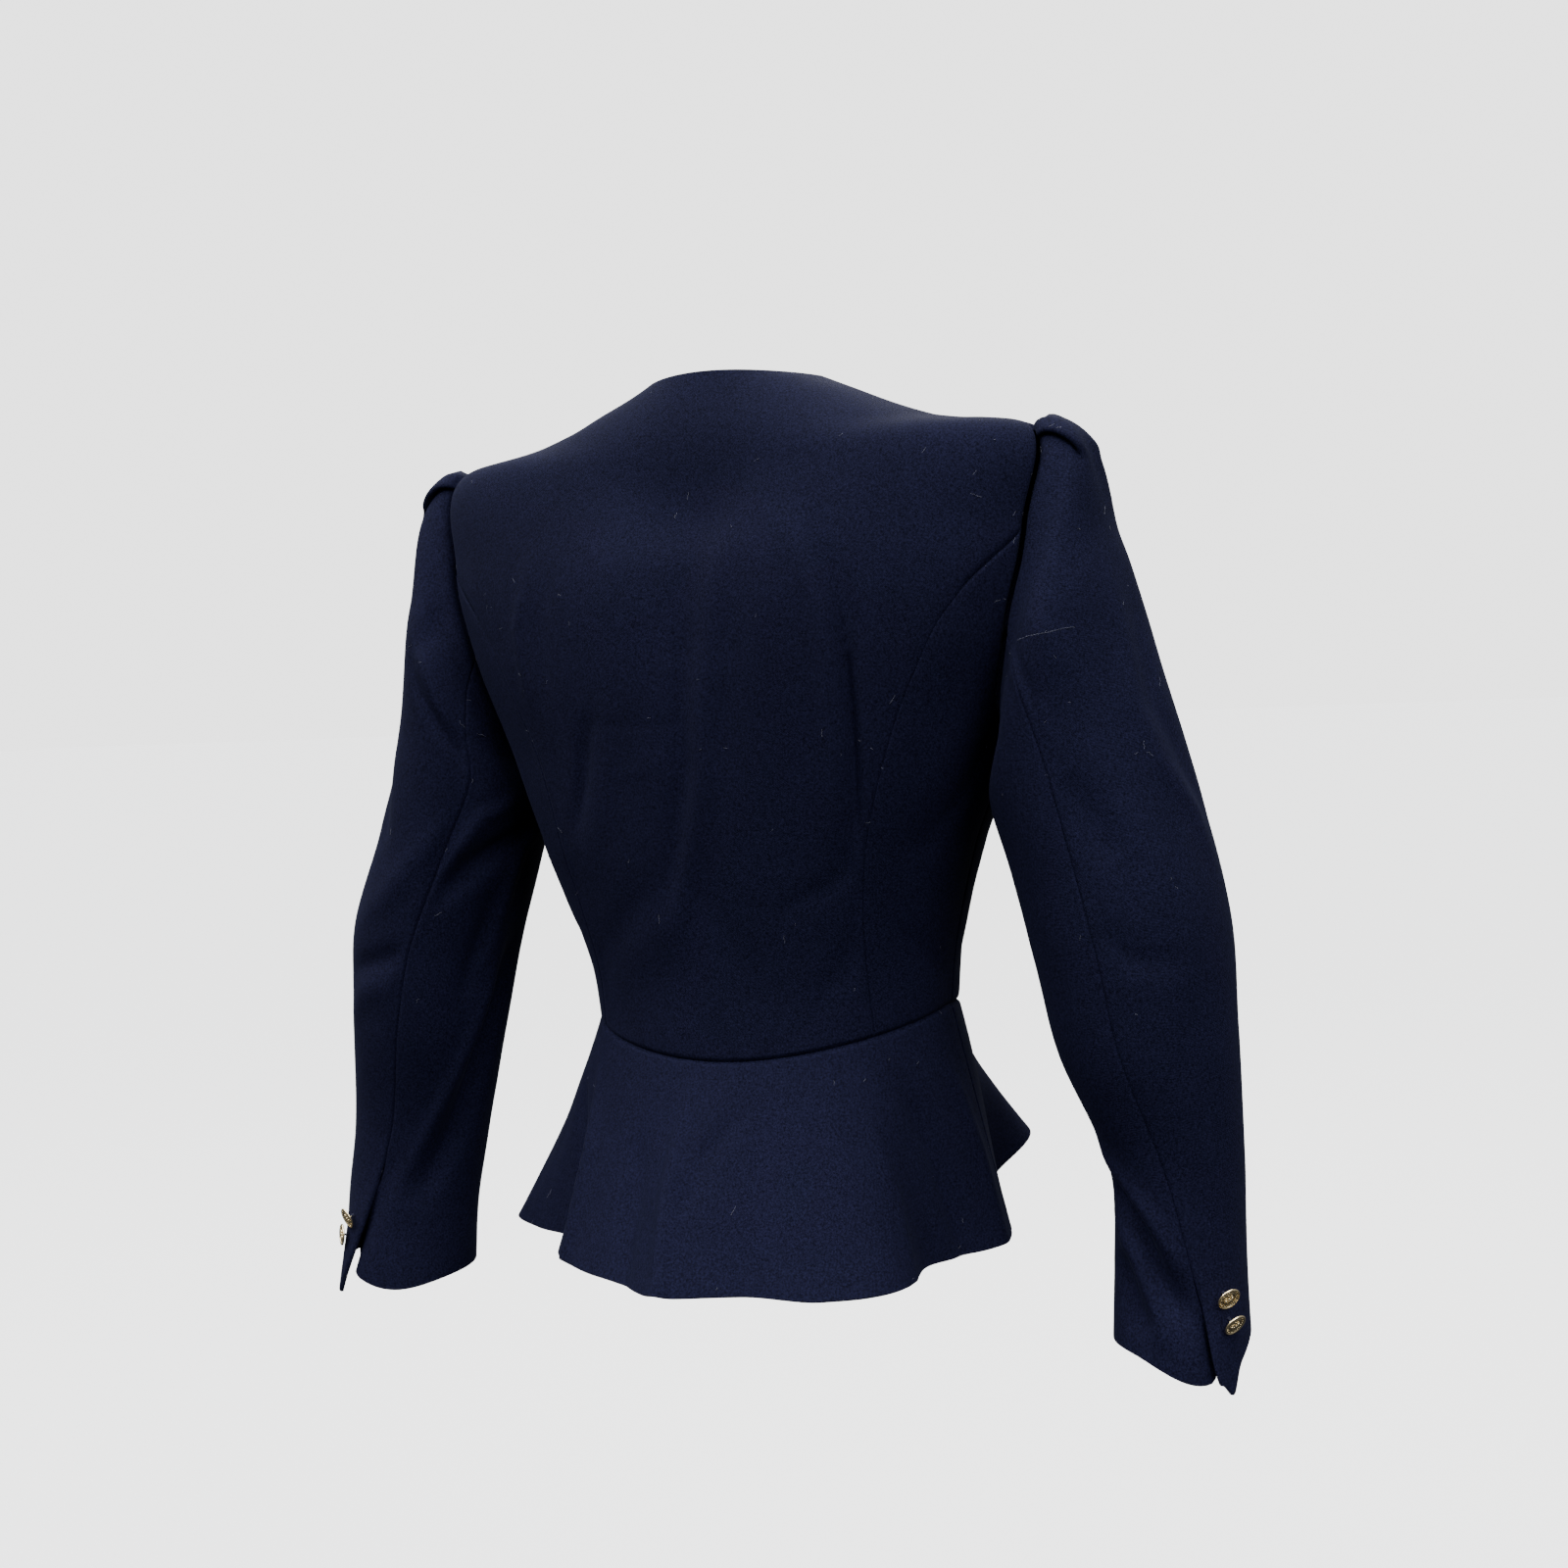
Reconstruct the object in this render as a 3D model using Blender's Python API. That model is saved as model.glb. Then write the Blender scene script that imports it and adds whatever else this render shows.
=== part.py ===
"""A collarless peplum blazer in its worn shape, made panel by panel from its cut.

+Z is up, the wearer would face -Y and the wearer's left is +X. The origin is the
centre of the neck opening, level with the top of the shoulder seams. Tables and
sizes are in millimetres, and the finished meshes are in metres.
"""

from collections import namedtuple

import bmesh
import bpy
import numpy as np
from mathutils import Matrix, Vector
from mathutils.bvhtree import BVHTree

MM = 0.001

# Driving sizes
CLOTH = 1.4
SEAM_GAP = 0.4
OVERLAP_ANGLE = 9.0
UNDERLAP_DROP = 2.0
UNDERLAP_START = 11.0
UNDERLAP_EASE = 10.0
BUTTON_RADIUS = 7.6
FRONT_BUTTON_RADIUS = 9.2
BUTTON_SIDES = 12

# A button from the end of its shank to the middle of its face: share of its radius, and height
ProfilePoint = namedtuple("ProfilePoint", "part share height")
SHANK_SHARE = 0.24
BUTTON_PROFILE = [
    ProfilePoint("top of the shank", SHANK_SHARE, 0.0), ProfilePoint("back", 0.90, 0.2),
    ProfilePoint("edge", 1.0, 0.9), ProfilePoint("rim", 0.92, 1.8), ProfilePoint("groove", 0.78, 1.2),
    ProfilePoint("dome", 0.45, 1.8), ProfilePoint("middle of the face", 0.0, 2.1),
]
SHANK_CLEARANCE = 0.3
FRONT_SHANK = 1.7

# How many strips each seam is sampled in, shared by the two pieces that it joins
PANEL_ROWS = 9
BACK_COLUMNS = 14
SHOULDER_STRIPS = 4
FRONT_COLUMNS = 8

FRONT_BUTTON_STATIONS = [-212, -268, -324, -380]

# The cuff buttons hang a little from their shanks. From edge and droop are in degrees.
CuffButton = namedtuple("CuffButton", "row from_edge shank droop")
LEFT_CUFF_BUTTONS = [CuffButton(505, 13, 3.4, 32), CuffButton(522, 15, 1.9, 9)]
RIGHT_CUFF_BUTTONS = [CuffButton(506, 19, 4.5, 37), CuffButton(520.5, 16, 4.4, 41)]

NAVY = (0.012, 0.014, 0.032, 1.0)
GOLD = (0.83, 0.62, 0.30, 1.0)

# Rings round the body. A ring's height differs at the side, the back and the front,
# and so does its depth. The rings through the armhole are imaginary at the side.
# Roundness is how evenly the height changes round the ring, and sway its shift sideways.
Ring = namedtuple(
    "Ring", "name station side_z back_z front_z half_width side_y back_y front_y squareness roundness sway"
)
BODY_RINGS = [
    Ring("waist seam", -415, -407, -431, -415, 123, -11, 85, -107, 2.1, 1.2, 0),
    Ring("above the waist", -381, -376, -391, -384, 128, -10, 83, -110, 2.1, 1.3, 1),
    Ring("lower ribs", -340, -337, -345, -344, 140, -6, 86, -117, 2.15, 1.6, 3),
    Ring("ribs", -300, -299, -302, -302, 153, -3, 91, -126, 2.2, 2.0, 4),
    Ring("chest", -235, -235, -238, -238, 176, -2, 96, -134, 2.25, 2.0, 0),
    Ring("low armhole", -165, -165, -174, -172, 203, 2, 97, -116, 2.3, 2.0, 0),
    Ring("mid armhole", -107, -107, -120, -125, 214, 6, 91, -90, 2.3, 2.0, 0),
    Ring("shoulder tip", -60, -46, -81, -98, 205, 10, 77, -76, 2.2, 2.0, 0),
    Ring("mid shoulder", -28, -32, -35, -82, 136, 11, 70, -64, 2.05, 2.0, 0),
    Ring("neck", 0, -1, 3, -68, 60, 2, 55, -52, 2.0, 2.0, 0),
]
WAIST, TIP, NECK = -415.0, -60.0, 0.0

# Soft swells of the cut, the same on both sides
Swell = namedtuple("Swell", "name angle station angle_reach station_reach height")
SWELLS = [
    Swell("bust", 142, -232, 20, 50, 14),
    Swell("shoulder blade", 30, -125, 20, 70, 4),
]

# Seams of the body as angle round from the centre back against station
SeamPoint = namedtuple("SeamPoint", "station angle")
BACK_SEAM = [
    SeamPoint(-415, 58), SeamPoint(-359, 56.7), SeamPoint(-300, 57.2), SeamPoint(-234, 59.5),
    SeamPoint(-191, 63.8), SeamPoint(-155, 68.8), SeamPoint(-127, 75.6), SeamPoint(-110.6, 81.2),
]
FRONT_SEAM = [
    SeamPoint(-415, 134), SeamPoint(-340, 138), SeamPoint(-270, 141),
    SeamPoint(-220, 138), SeamPoint(-175, 126), SeamPoint(-145, 103.2),
]
SIDE_SEAM_ANGLE = 92.0

# The armhole, a closed curve on the body: turn 0 at the shoulder tip, 90 at the back
ArmholePoint = namedtuple("ArmholePoint", "turn station angle")
ARMHOLE = [
    ArmholePoint(0, -60, 90), ArmholePoint(40, -84, 84), ArmholePoint(80, -122, 80.5),
    ArmholePoint(120, -170, 79), ArmholePoint(150, -212, 81.5), ArmholePoint(180, -235, 92),
    ArmholePoint(210, -214, 102), ArmholePoint(240, -182, 104.5), ArmholePoint(275, -145, 103.2),
    ArmholePoint(320, -93, 98), ArmholePoint(360, -60, 90),
]

# Where both body and sleeve have a point on the armhole. The seams that meet it are among them.
ARMHOLE_TURNS = np.array(
    [0, 26, 40, 54, 68, 85, 102, 120, 140, 160, 180, 202, 225, 242, 258, 275, 296, 315, 334, 360]
)
BACK_JOIN, SLEEVE_BACK_JOIN, SIDE_JOIN, SLEEVE_FRONT_JOIN, FRONT_JOIN = 4, 7, 10, 12, 15

# The V neck, from the front edge up to the side of the neck
V_NECK = [
    SeamPoint(-196, 189), SeamPoint(-150, 174), SeamPoint(-100, 158),
    SeamPoint(-50, 137), SeamPoint(-15, 112), SeamPoint(0, 90),
]
V_ROWS = 6
EVENING_PASSES = 6

# The sleeve leaves the armhole in this direction, at this speed
StartPoint = namedtuple("StartPoint", "turn out back up speed")
SLEEVE_START = [
    StartPoint(0, 1.0, 0.0, 0.08, 1.15), StartPoint(90, 0.55, 0.46, -0.64, 0.50),
    StartPoint(180, 0.45, 0.0, -0.90, 0.30), StartPoint(270, 0.72, -0.42, -0.56, 0.62),
    StartPoint(360, 1.0, 0.0, 0.08, 1.15),
]

# Sections of each arm below the armhole, measured out to its own side, with the turn of its back seam
Section = namedtuple("Section", "name along x y z tilt out_radius deep_radius back_seam")
LEFT_ARM = [
    Section("under the cap", 95, 212, 2, -180, 60, 70, 66, 126),
    Section("upper arm", 175, 217, 4, -238, 34, 57, 64, 124),
    Section("above the elbow", 245, 234, 6, -300, 18, 55, 62, 113),
    Section("elbow", 305, 256, 9, -360, 12, 58.5, 61, 107),
    Section("below the elbow", 370, 265, 12, -422, 8, 54, 55, 100),
    Section("forearm", 445, 278.5, 11, -500, 6, 49, 46, 95),
    Section("wrist", 495, 286, 16, -550, 5, 47, 45, 82),
    Section("cuff", 550, 286.5, 24, -603, 4, 45.5, 46, 52),
]
RIGHT_ARM = [
    Section("under the cap", 95, 214, 2, -180, 60, 73, 66, 105),
    Section("upper arm", 175, 222, 4, -238, 34, 65, 64, 93),
    Section("above the elbow", 245, 239, 6, -300, 18, 62, 62, 94),
    Section("elbow", 305, 253.5, 9, -360, 12, 61, 61, 94),
    Section("below the elbow", 370, 261.5, 12, -422, 8, 54.5, 55, 91),
    Section("forearm", 445, 276.4, 11, -500, 6, 39.5, 46, 79),
    Section("wrist", 495, 277.5, 16, -550, 5, 39.5, 45, 60),
    Section("cuff", 550, 279, 24, -607, 4, 41.5, 46, 34),
]
SLEEVE_ROWS = [0, 9, 20, 34, 50, 72, 102, 140, 180, 222, 265, 308, 350, 395, 440, 478, 503, 526, 550]
UNDER_SPLIT = 2

# The box pleat in the sleeve head: the height of its top and how far its edges are folded under
PleatRow = namedtuple("PleatRow", "along height folded")
PLEAT = [
    PleatRow(0, 4.2, 1.0), PleatRow(10, 5.4, 1.0), PleatRow(22, 5.8, 1.0), PleatRow(36, 5.4, 0.8),
    PleatRow(50, 4.4, 0.25), PleatRow(62, 3.4, 0.0), PleatRow(90, 1.4, 0.0), PleatRow(130, 0.0, 0.0),
]
PLEAT_HALF_WIDTH = 13.0
PLEAT_UNDERFOLD = 4.5
PLEAT_REACH = 22.0
PLEAT_TOP_STEP = 1.2
PLEAT_SLOPE = [3, 6, 9, 12, 15, 17, 20, 25]
PLEAT_SLOPE_HEIGHT = [1.0, 1.0, 0.88, 0.68, 0.4, 0.22, 0.06, 0.0]
PLEAT_SPREAD = 1.5
PLEAT_SPREAD_FROM, PLEAT_SPREAD_OVER = 100.0, 300.0
PLEAT_DIP_LENGTH = 9.0
TURN_PER_MM = ARMHOLE_TURNS[1] / PLEAT_REACH

# The cuffs. The upper sleeve's flap lies over a strip of the under sleeve below the top of the vent,
# and the hem rises all round but drops again at one turn
Cuff = namedtuple("Cuff", "vent_top hem_rise hem_turn hem_drop flap_point flap_lift")
LEFT_CUFF = Cuff(472, 9, 108, 10, 17, 6.0)
RIGHT_CUFF = Cuff(505, 11, 53, 20, 7, 1.2)
HEM_DROP_REACH = 45.0
HEM_SLANT_FROM = 400.0
FLAP_WIDTH_TURN = 14.0
FLAP_LIFT_WIDTH = 1.5

# The strip of the under sleeve below the vent's top: how much wider it grows and how soon it drops
VENT_UNDERLAP_TURN = 22.0
VENT_LAP_FROM, VENT_LAP_OVER = 6.0, 20.0
VENT_DROP_OVER = 22.0
VENT_DROP_TURN, VENT_DROP_EASE = 24.0, 18.0

# The hem of the peplum, by azimuth from the centre back: its radius, with the flutes, and its height
HemPoint = namedtuple("HemPoint", "azimuth radius height")
HEM = [
    HemPoint(-180, 140, -500), HemPoint(-156, 148, -504), HemPoint(-132, 176, -514),
    HemPoint(-113, 136, -536), HemPoint(-100, 148, -548), HemPoint(-88, 160, -556),
    HemPoint(-72, 150, -558), HemPoint(-60, 151, -558), HemPoint(-49, 180, -558),
    HemPoint(-32, 183, -559), HemPoint(-17, 170, -558), HemPoint(-9, 173, -558),
    HemPoint(1, 180, -558), HemPoint(13, 165, -558), HemPoint(27, 163, -557),
    HemPoint(42, 161, -555), HemPoint(54, 147, -554), HemPoint(68, 171, -556),
    HemPoint(80, 196, -556), HemPoint(93, 176, -552), HemPoint(108, 146, -540),
    HemPoint(130, 168, -516), HemPoint(156, 147, -504), HemPoint(180, 140, -500),
]
PEPLUM_CENTRE_Y = -11.0
PEPLUM_ROWS = 7
PEPLUM_SPLIT = 2
FLUTE_START_POWER = 1.5
FLUTE_SMOOTHING = range(-40, 41, 10)


def through(knots, values, x):
    """A smooth curve through the values at the knots, read at x."""
    knots = np.asarray(knots, float)
    values = np.asarray(values, float)
    slopes = np.gradient(values, knots)
    return hermite(knots, values, slopes, x)


def hermite(knots, values, slopes, x):
    """Cubic pieces with the given values and slopes at the knots."""
    i = np.clip(np.searchsorted(knots, x, side="right") - 1, 0, len(knots) - 2)
    span = knots[i + 1] - knots[i]
    t = (x - knots[i]) / span
    rise = values[i + 1] - values[i]
    bend = slopes[i] * span - rise
    turn = rise - slopes[i + 1] * span
    return values[i] + rise * t + t * (1 - t) * (bend * (1 - t) + turn * t)


def around(knots, values, x):
    """The same, for a closed curve whose first and last knots are one full turn apart."""
    knots = list(knots)
    values = list(values)
    low = knots[-3] - 360.0, knots[-2] - 360.0
    high = knots[1] + 360.0, knots[2] + 360.0
    x = (np.asarray(x, float) - knots[0]) % 360.0 + knots[0]
    return through([*low, *knots, *high], [values[-3], values[-2], *values, values[1], values[2]], x)


def unit(v):
    return v / np.maximum(np.linalg.norm(v, axis=-1, keepdims=True), 1e-9)


def ease(x):
    """0 to 1 with level ends."""
    x = np.clip(x, 0.0, 1.0)
    return x * x * (3 - 2 * x)


def wrapped(angle):
    return (angle + 180.0) % 360.0 - 180.0


def column(table, name):
    return [getattr(row, name) for row in table]


# The body surface and the seams drawn on it


def ring_value(name, station):
    return through(column(BODY_RINGS, "station"), column(BODY_RINGS, name), station)


def body(angle, station):
    """Point of the body surface, angle in degrees from the centre back, positive to the wearer's left."""
    angle, station = np.broadcast_arrays(np.asarray(angle, float), np.asarray(station, float))
    a = np.radians(angle)
    s, c = np.sin(a), np.cos(a)
    behind = c >= 0
    side_y = ring_value("side_y", station)
    depth = np.where(behind, ring_value("back_y", station) - side_y, side_y - ring_value("front_y", station))
    power = ring_value("squareness", station)
    width = ring_value("half_width", station)
    r = ((np.abs(s) / width) ** power + (np.abs(c) / depth) ** power) ** (-1 / power)
    for swell in SWELLS:
        off = (np.abs(wrapped(angle)) - swell.angle) / swell.angle_reach
        up = (station - swell.station) / swell.station_reach
        r = r + swell.height * np.exp(-off * off - up * up)
    side_z = ring_value("side_z", station)
    end_z = np.where(behind, ring_value("back_z", station), ring_value("front_z", station))
    height = side_z + np.abs(c) ** ring_value("roundness", station) * (end_z - side_z)
    sway = np.interp(station, column(BODY_RINGS, "station"), column(BODY_RINGS, "sway"))
    return np.stack([r * s + sway, side_y + r * c, height], -1)


def body_normal(angle, station):
    """The way out of the body surface."""
    across = body(angle + 0.5, station) - body(angle - 0.5, station)
    upward = body(angle, station + 1.0) - body(angle, station - 1.0)
    return unit(np.cross(upward, across))


def seam(points, count):
    """A seam as (angle, station) from its lowest point to its highest, in equal steps of station."""
    stations = np.linspace(points[0].station, points[-1].station, count + 1)
    return np.stack([through(column(points, "station"), column(points, "angle"), stations), stations], 1)


def armhole(turn):
    """The armhole as (angle, station)."""
    turns = column(ARMHOLE, "turn")
    return np.stack([around(turns, column(ARMHOLE, name), turn) for name in ("angle", "station")], -1)


def straight(start, end, count):
    return np.linspace(np.asarray(start, float), np.asarray(end, float), count + 1)


def patch(bottom, top, left, right):
    """A grid between four edge lines: rows run from bottom to top, columns from left to right."""
    u = np.linspace(0, 1, len(bottom))[None, :, None]
    v = np.linspace(0, 1, len(left))[:, None, None]
    ruled = (1 - v) * bottom[None] + v * top[None] + (1 - u) * left[:, None] + u * right[:, None]
    low = (1 - u) * bottom[0] + u * bottom[-1]
    high = (1 - u) * top[0] + u * top[-1]
    grid = ruled - (1 - v) * low - v * high
    for _ in range(EVENING_PASSES):
        grid[1:-1, 1:-1] = (grid[2:, 1:-1] + grid[:-2, 1:-1] + grid[1:-1, 2:] + grid[1:-1, :-2]) / 4
    return grid


# Closed walls


def rim_of(rows, columns):
    """The edge of a grid as (row, column) pairs, once round."""
    rim = [(0, j) for j in range(columns)]
    rim += [(i, columns - 1) for i in range(1, rows)]
    rim += [(rows - 1, j) for j in range(columns - 2, -1, -1)]
    rim += [(i, 0) for i in range(rows - 2, 0, -1)]
    return rim


def drawn_in(points, normals, amount=SEAM_GAP / 2):
    """Moves the edge of a grid inwards along the cloth, which leaves a seam's gap beside its neighbour."""
    rim = rim_of(*points.shape[:2])
    edge = np.array([points[i, j] for i, j in rim])
    out = np.array([normals[i, j] for i, j in rim])
    along = unit(np.roll(edge, -1, 0) - edge)
    inward = unit(np.cross(unit(out + np.roll(out, -1, 0)), along))
    middle = points.reshape(-1, 3).mean(0)
    if np.sum(inward * (middle - edge)) < 0:
        inward = -inward
    before = np.roll(inward, 1, 0)
    corner = np.maximum(1 + np.sum(before * inward, -1, keepdims=True), 0.4)
    shift = amount * (before + inward) / corner
    moved = points.copy()
    for (i, j), by in zip(rim, shift):
        moved[i, j] += by
    return moved


def paint(name, colour, roughness, metallic):
    material = bpy.data.materials.new(name)
    material.use_nodes = True
    shader = material.node_tree.nodes["Principled BSDF"]
    shader.inputs["Base Color"].default_value = colour
    shader.inputs["Roughness"].default_value = roughness
    shader.inputs["Metallic"].default_value = metallic
    material.diffuse_color = colour
    return material


def add_object(name, mesh, colour, roughness, metallic=0.0):
    mesh.materials.append(paint(name, colour, roughness, metallic))
    added = bpy.data.objects.new(name, mesh)
    bpy.context.scene.collection.objects.link(added)
    return added


def cloth_wall(name, outer, inner):
    """A closed wall between two grids of points, each square cut along its shorter diagonal."""
    rows, columns = outer.shape[:2]
    count = rows * columns
    index = np.arange(count).reshape(rows, columns)
    faces = []
    for i in range(rows - 1):
        for j in range(columns - 1):
            a, b, c, d = index[i, j], index[i, j + 1], index[i + 1, j + 1], index[i + 1, j]
            rising = np.linalg.norm(outer[i, j] - outer[i + 1, j + 1])
            falling = np.linalg.norm(outer[i, j + 1] - outer[i + 1, j])
            cut = [(a, c, b), (a, d, c)] if rising <= falling else [(a, d, b), (b, d, c)]
            faces += cut
            faces += [(z + count, y + count, x + count) for x, y, z in cut]
    rim = [index[i, j] for i, j in rim_of(rows, columns)]
    for a, b in zip(rim, rim[1:] + rim[:1]):
        faces += [(a, b, b + count), (a, b + count, a + count)]
    points = np.concatenate([outer.reshape(-1, 3), inner.reshape(-1, 3)]) * MM
    mesh = bpy.data.meshes.new(name)
    mesh.from_pydata([tuple(p) for p in points], [], [tuple(int(k) for k in face) for face in faces])
    turned = bmesh.new()
    turned.from_mesh(mesh)
    bmesh.ops.recalc_face_normals(turned, faces=turned.faces)
    turned.to_mesh(mesh)
    turned.free()
    return add_object(name, mesh, NAVY, 0.85)


def mirrored(points):
    return points * np.array([-1.0, 1.0, 1.0])


# Panels of the body


def armhole_line():
    """Points of the wearer's left armhole and, at each, the way out that body and sleeve share."""
    angle, station = armhole(ARMHOLE_TURNS).T
    points = body(angle, station)
    points[-1] = points[0]
    along = unit(np.gradient(np.concatenate([points[-2:-1], points, points[1:2]]), axis=0)[1:-1])
    start = sleeve_start(ARMHOLE_TURNS)[0]
    shared = unit(body_normal(angle, station) + unit(np.cross(start, along)))
    return points, shared


def body_wall(name, domain, side, armhole_edges=(), drop=None, chords=False):
    """A panel from its (angle, station) grid, drawn for the wearer's left and placed on either side.

    Each armhole edge is given as its rows, its columns, its samples of the armhole and its side.
    With chords, every other point of the top edge lies halfway between its neighbours.
    """
    angle, station = domain[..., 0] * side, domain[..., 1]
    points = body(angle, station)
    normals = body_normal(angle, station)
    shared = armhole_line()[1]
    for rows, columns, samples, edge_side in armhole_edges:
        normals[rows, columns] = shared[samples] * np.array([edge_side * side, 1.0, 1.0])
    if chords:
        for grid in (points, normals):
            grid[-1, 1::2] = (grid[-1, :-1:2] + grid[-1, 2::2]) / 2
    outer = drawn_in(points, normals)
    if drop is not None:
        outer = outer - normals * drop[..., None]
    return cloth_wall(name, outer, outer - normals * CLOTH)


def back_edge():
    """The side of the back panel: the back seam, then the armhole up to the shoulder tip."""
    low = seam(BACK_SEAM, PANEL_ROWS)
    high = armhole(ARMHOLE_TURNS[: BACK_JOIN + 1])[::-1]
    low[-1] = high[0]
    return np.concatenate([low, high[1:]])


def front_edge():
    """The side of a front panel: the front seam, then the armhole up to the shoulder tip."""
    low = seam(FRONT_SEAM, PANEL_ROWS)
    high = armhole(ARMHOLE_TURNS[FRONT_JOIN:])
    low[-1] = high[0]
    return np.concatenate([low, high[1:]])


def back_panel():
    right = back_edge()
    left = right * np.array([-1.0, 1.0])
    bottom = straight(left[0], right[0], BACK_COLUMNS)
    shoulder = straight((90, TIP), (90, NECK), SHOULDER_STRIPS)
    neck = straight((-90, NECK), (90, NECK), BACK_COLUMNS - 2 * SHOULDER_STRIPS)
    top = np.concatenate([shoulder[:-1] * np.array([-1.0, 1.0]), neck, shoulder[::-1][1:]])
    rows = np.arange(PANEL_ROWS, len(right))
    samples = np.arange(BACK_JOIN, -1, -1)
    edges = [(rows, BACK_COLUMNS, samples, 1), (rows, 0, samples, -1)]
    body_wall("back_panel", patch(bottom, top, left, right), 1, edges)


def side_back_panel(side, suffix):
    samples = np.arange(BACK_JOIN, SIDE_JOIN + 1)
    left = back_edge()[: PANEL_ROWS + 1]
    top = armhole(ARMHOLE_TURNS[samples])
    right = straight((SIDE_SEAM_ANGLE, WAIST), top[-1], PANEL_ROWS)
    bottom = straight(left[0], right[0], len(samples) - 1)
    body_wall(
        "side_back_" + suffix, patch(bottom, top, left, right), side,
        [(PANEL_ROWS, np.arange(len(samples)), samples, 1)],
    )


def side_front_panel(side, suffix):
    samples = np.arange(SIDE_JOIN, FRONT_JOIN + 1)
    right = front_edge()[: PANEL_ROWS + 1]
    top = armhole(ARMHOLE_TURNS[samples])
    left = straight((SIDE_SEAM_ANGLE, WAIST), top[0], PANEL_ROWS)
    bottom = straight(left[0], right[0], len(samples) - 1)
    body_wall(
        "side_front_" + suffix, patch(bottom, top, left, right), side,
        [(PANEL_ROWS, np.arange(len(samples)), samples, 1)],
    )


def underlap(angle):
    """How far the wearer's left front drops below the right one, by angle."""
    return UNDERLAP_DROP * ease((angle - (180 - OVERLAP_ANGLE - UNDERLAP_START)) / UNDERLAP_EASE)


def front_panel(side, suffix):
    left = front_edge()
    edge_rows = len(left) - 1 - V_ROWS
    opening = straight((180 + OVERLAP_ANGLE, WAIST), (180 + OVERLAP_ANGLE, V_NECK[0].station), edge_rows)
    right = np.concatenate([opening[:-1], seam(V_NECK, V_ROWS)])
    bottom = straight(left[0], right[0], FRONT_COLUMNS)
    top = straight((90, TIP), (90, NECK), FRONT_COLUMNS)
    domain = patch(bottom, top, left, right)
    samples = np.arange(FRONT_JOIN, len(ARMHOLE_TURNS))
    drop = underlap(domain[..., 0]) if side > 0 else None
    rows = np.arange(PANEL_ROWS, len(left))
    return body_wall("front_" + suffix, domain, side, [(rows, 0, samples, 1)], drop, chords=True)


# Sleeves


def sleeve_start(turn):
    """The direction in which the sleeve leaves the armhole, and how fast."""
    turns = column(SLEEVE_START, "turn")
    read = [around(turns, column(SLEEVE_START, name), turn) for name in ("out", "back", "up", "speed")]
    return unit(np.stack(read[:3], -1)), read[3]


def arm_section(section, turn):
    """Points of one section of the arm at the given turns."""
    a, tilt = np.radians(turn), np.radians(section.tilt)
    out = section.out_radius * np.cos(a)
    x = section.x + out * np.cos(tilt)
    y = section.y + section.deep_radius * np.sin(a)
    z = section.z + out * np.sin(tilt)
    return np.stack([x, y, z], -1)


def on_armhole(turn):
    """Points and shared ways out along the straight runs between the armhole's samples."""
    turn = np.asarray(turn, float) % 360.0
    read = []
    for values in armhole_line():
        read.append(np.stack([np.interp(turn, ARMHOLE_TURNS, values[:, k]) for k in range(3)], -1))
    return read


def sleeve(turn, along, arm):
    """Point of a sleeve drawn for the left arm, turn round it from the top and along it from the armhole."""
    turn, along = np.broadcast_arrays(np.asarray(turn, float), np.asarray(along, float))
    knots = np.array([0.0] + column(arm, "along"))
    values = np.stack([on_armhole(turn)[0]] + [arm_section(section, turn) for section in arm])
    slopes = np.gradient(values, knots, axis=0)
    start, speed = sleeve_start(turn)
    slopes[0] = start * speed[..., None]
    i = np.clip(np.searchsorted(knots, along, side="right") - 1, 0, len(knots) - 2)
    pick = np.ix_(*[range(n) for n in turn.shape])
    span = (knots[i + 1] - knots[i])[..., None]
    t = (along - knots[i])[..., None] / span
    low, high = values[(i, *pick)], values[(i + 1, *pick)]
    rise = high - low
    bend = slopes[(i, *pick)] * span - rise
    fall = rise - slopes[(i + 1, *pick)] * span
    return low + rise * t + t * (1 - t) * (bend * (1 - t) + fall * t)


def sleeve_frame(turn, along, arm):
    """The way out of the sleeve and the way round it."""
    round_ = unit(sleeve(turn + 1.0, along, arm) - sleeve(turn - 1.0, along, arm))
    down = sleeve(turn, along + 1.0, arm) - sleeve(turn, np.maximum(along - 1.0, 0.0), arm)
    return unit(np.cross(down, round_)), round_


def back_seam_turn(along, arm):
    knots = [0.0] + column(arm, "along")
    return through(knots, [ARMHOLE_TURNS[SLEEVE_BACK_JOIN]] + column(arm, "back_seam"), along)


def pleat_profile(along):
    """Across the back half of the pleat at one row: its columns' turns from the middle and their heights."""
    height = np.interp(along, column(PLEAT, "along"), column(PLEAT, "height"))
    folded = np.interp(along, column(PLEAT, "along"), column(PLEAT, "folded"))
    r = height / 4
    edge, under = PLEAT_HALF_WIDTH, PLEAT_UNDERFOLD
    tuck = edge - r - under
    flat_top = tuck - r - PLEAT_TOP_STEP
    places = np.array([flat_top, edge - r, edge, edge - r, tuck, tuck - r, tuck, PLEAT_REACH])
    heights = np.array([4, 4, 3, 2, 2, 1, 0, 0]) * r
    widening = 1 + (PLEAT_SPREAD - 1) * ease((along - PLEAT_SPREAD_FROM) / PLEAT_SPREAD_OVER)
    flat_places = np.array(PLEAT_SLOPE) * widening
    flat_heights = np.array(PLEAT_SLOPE_HEIGHT) * height
    turns = (folded * places + (1 - folded) * flat_places) * TURN_PER_MM
    return turns, folded * heights + (1 - folded) * flat_heights


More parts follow.
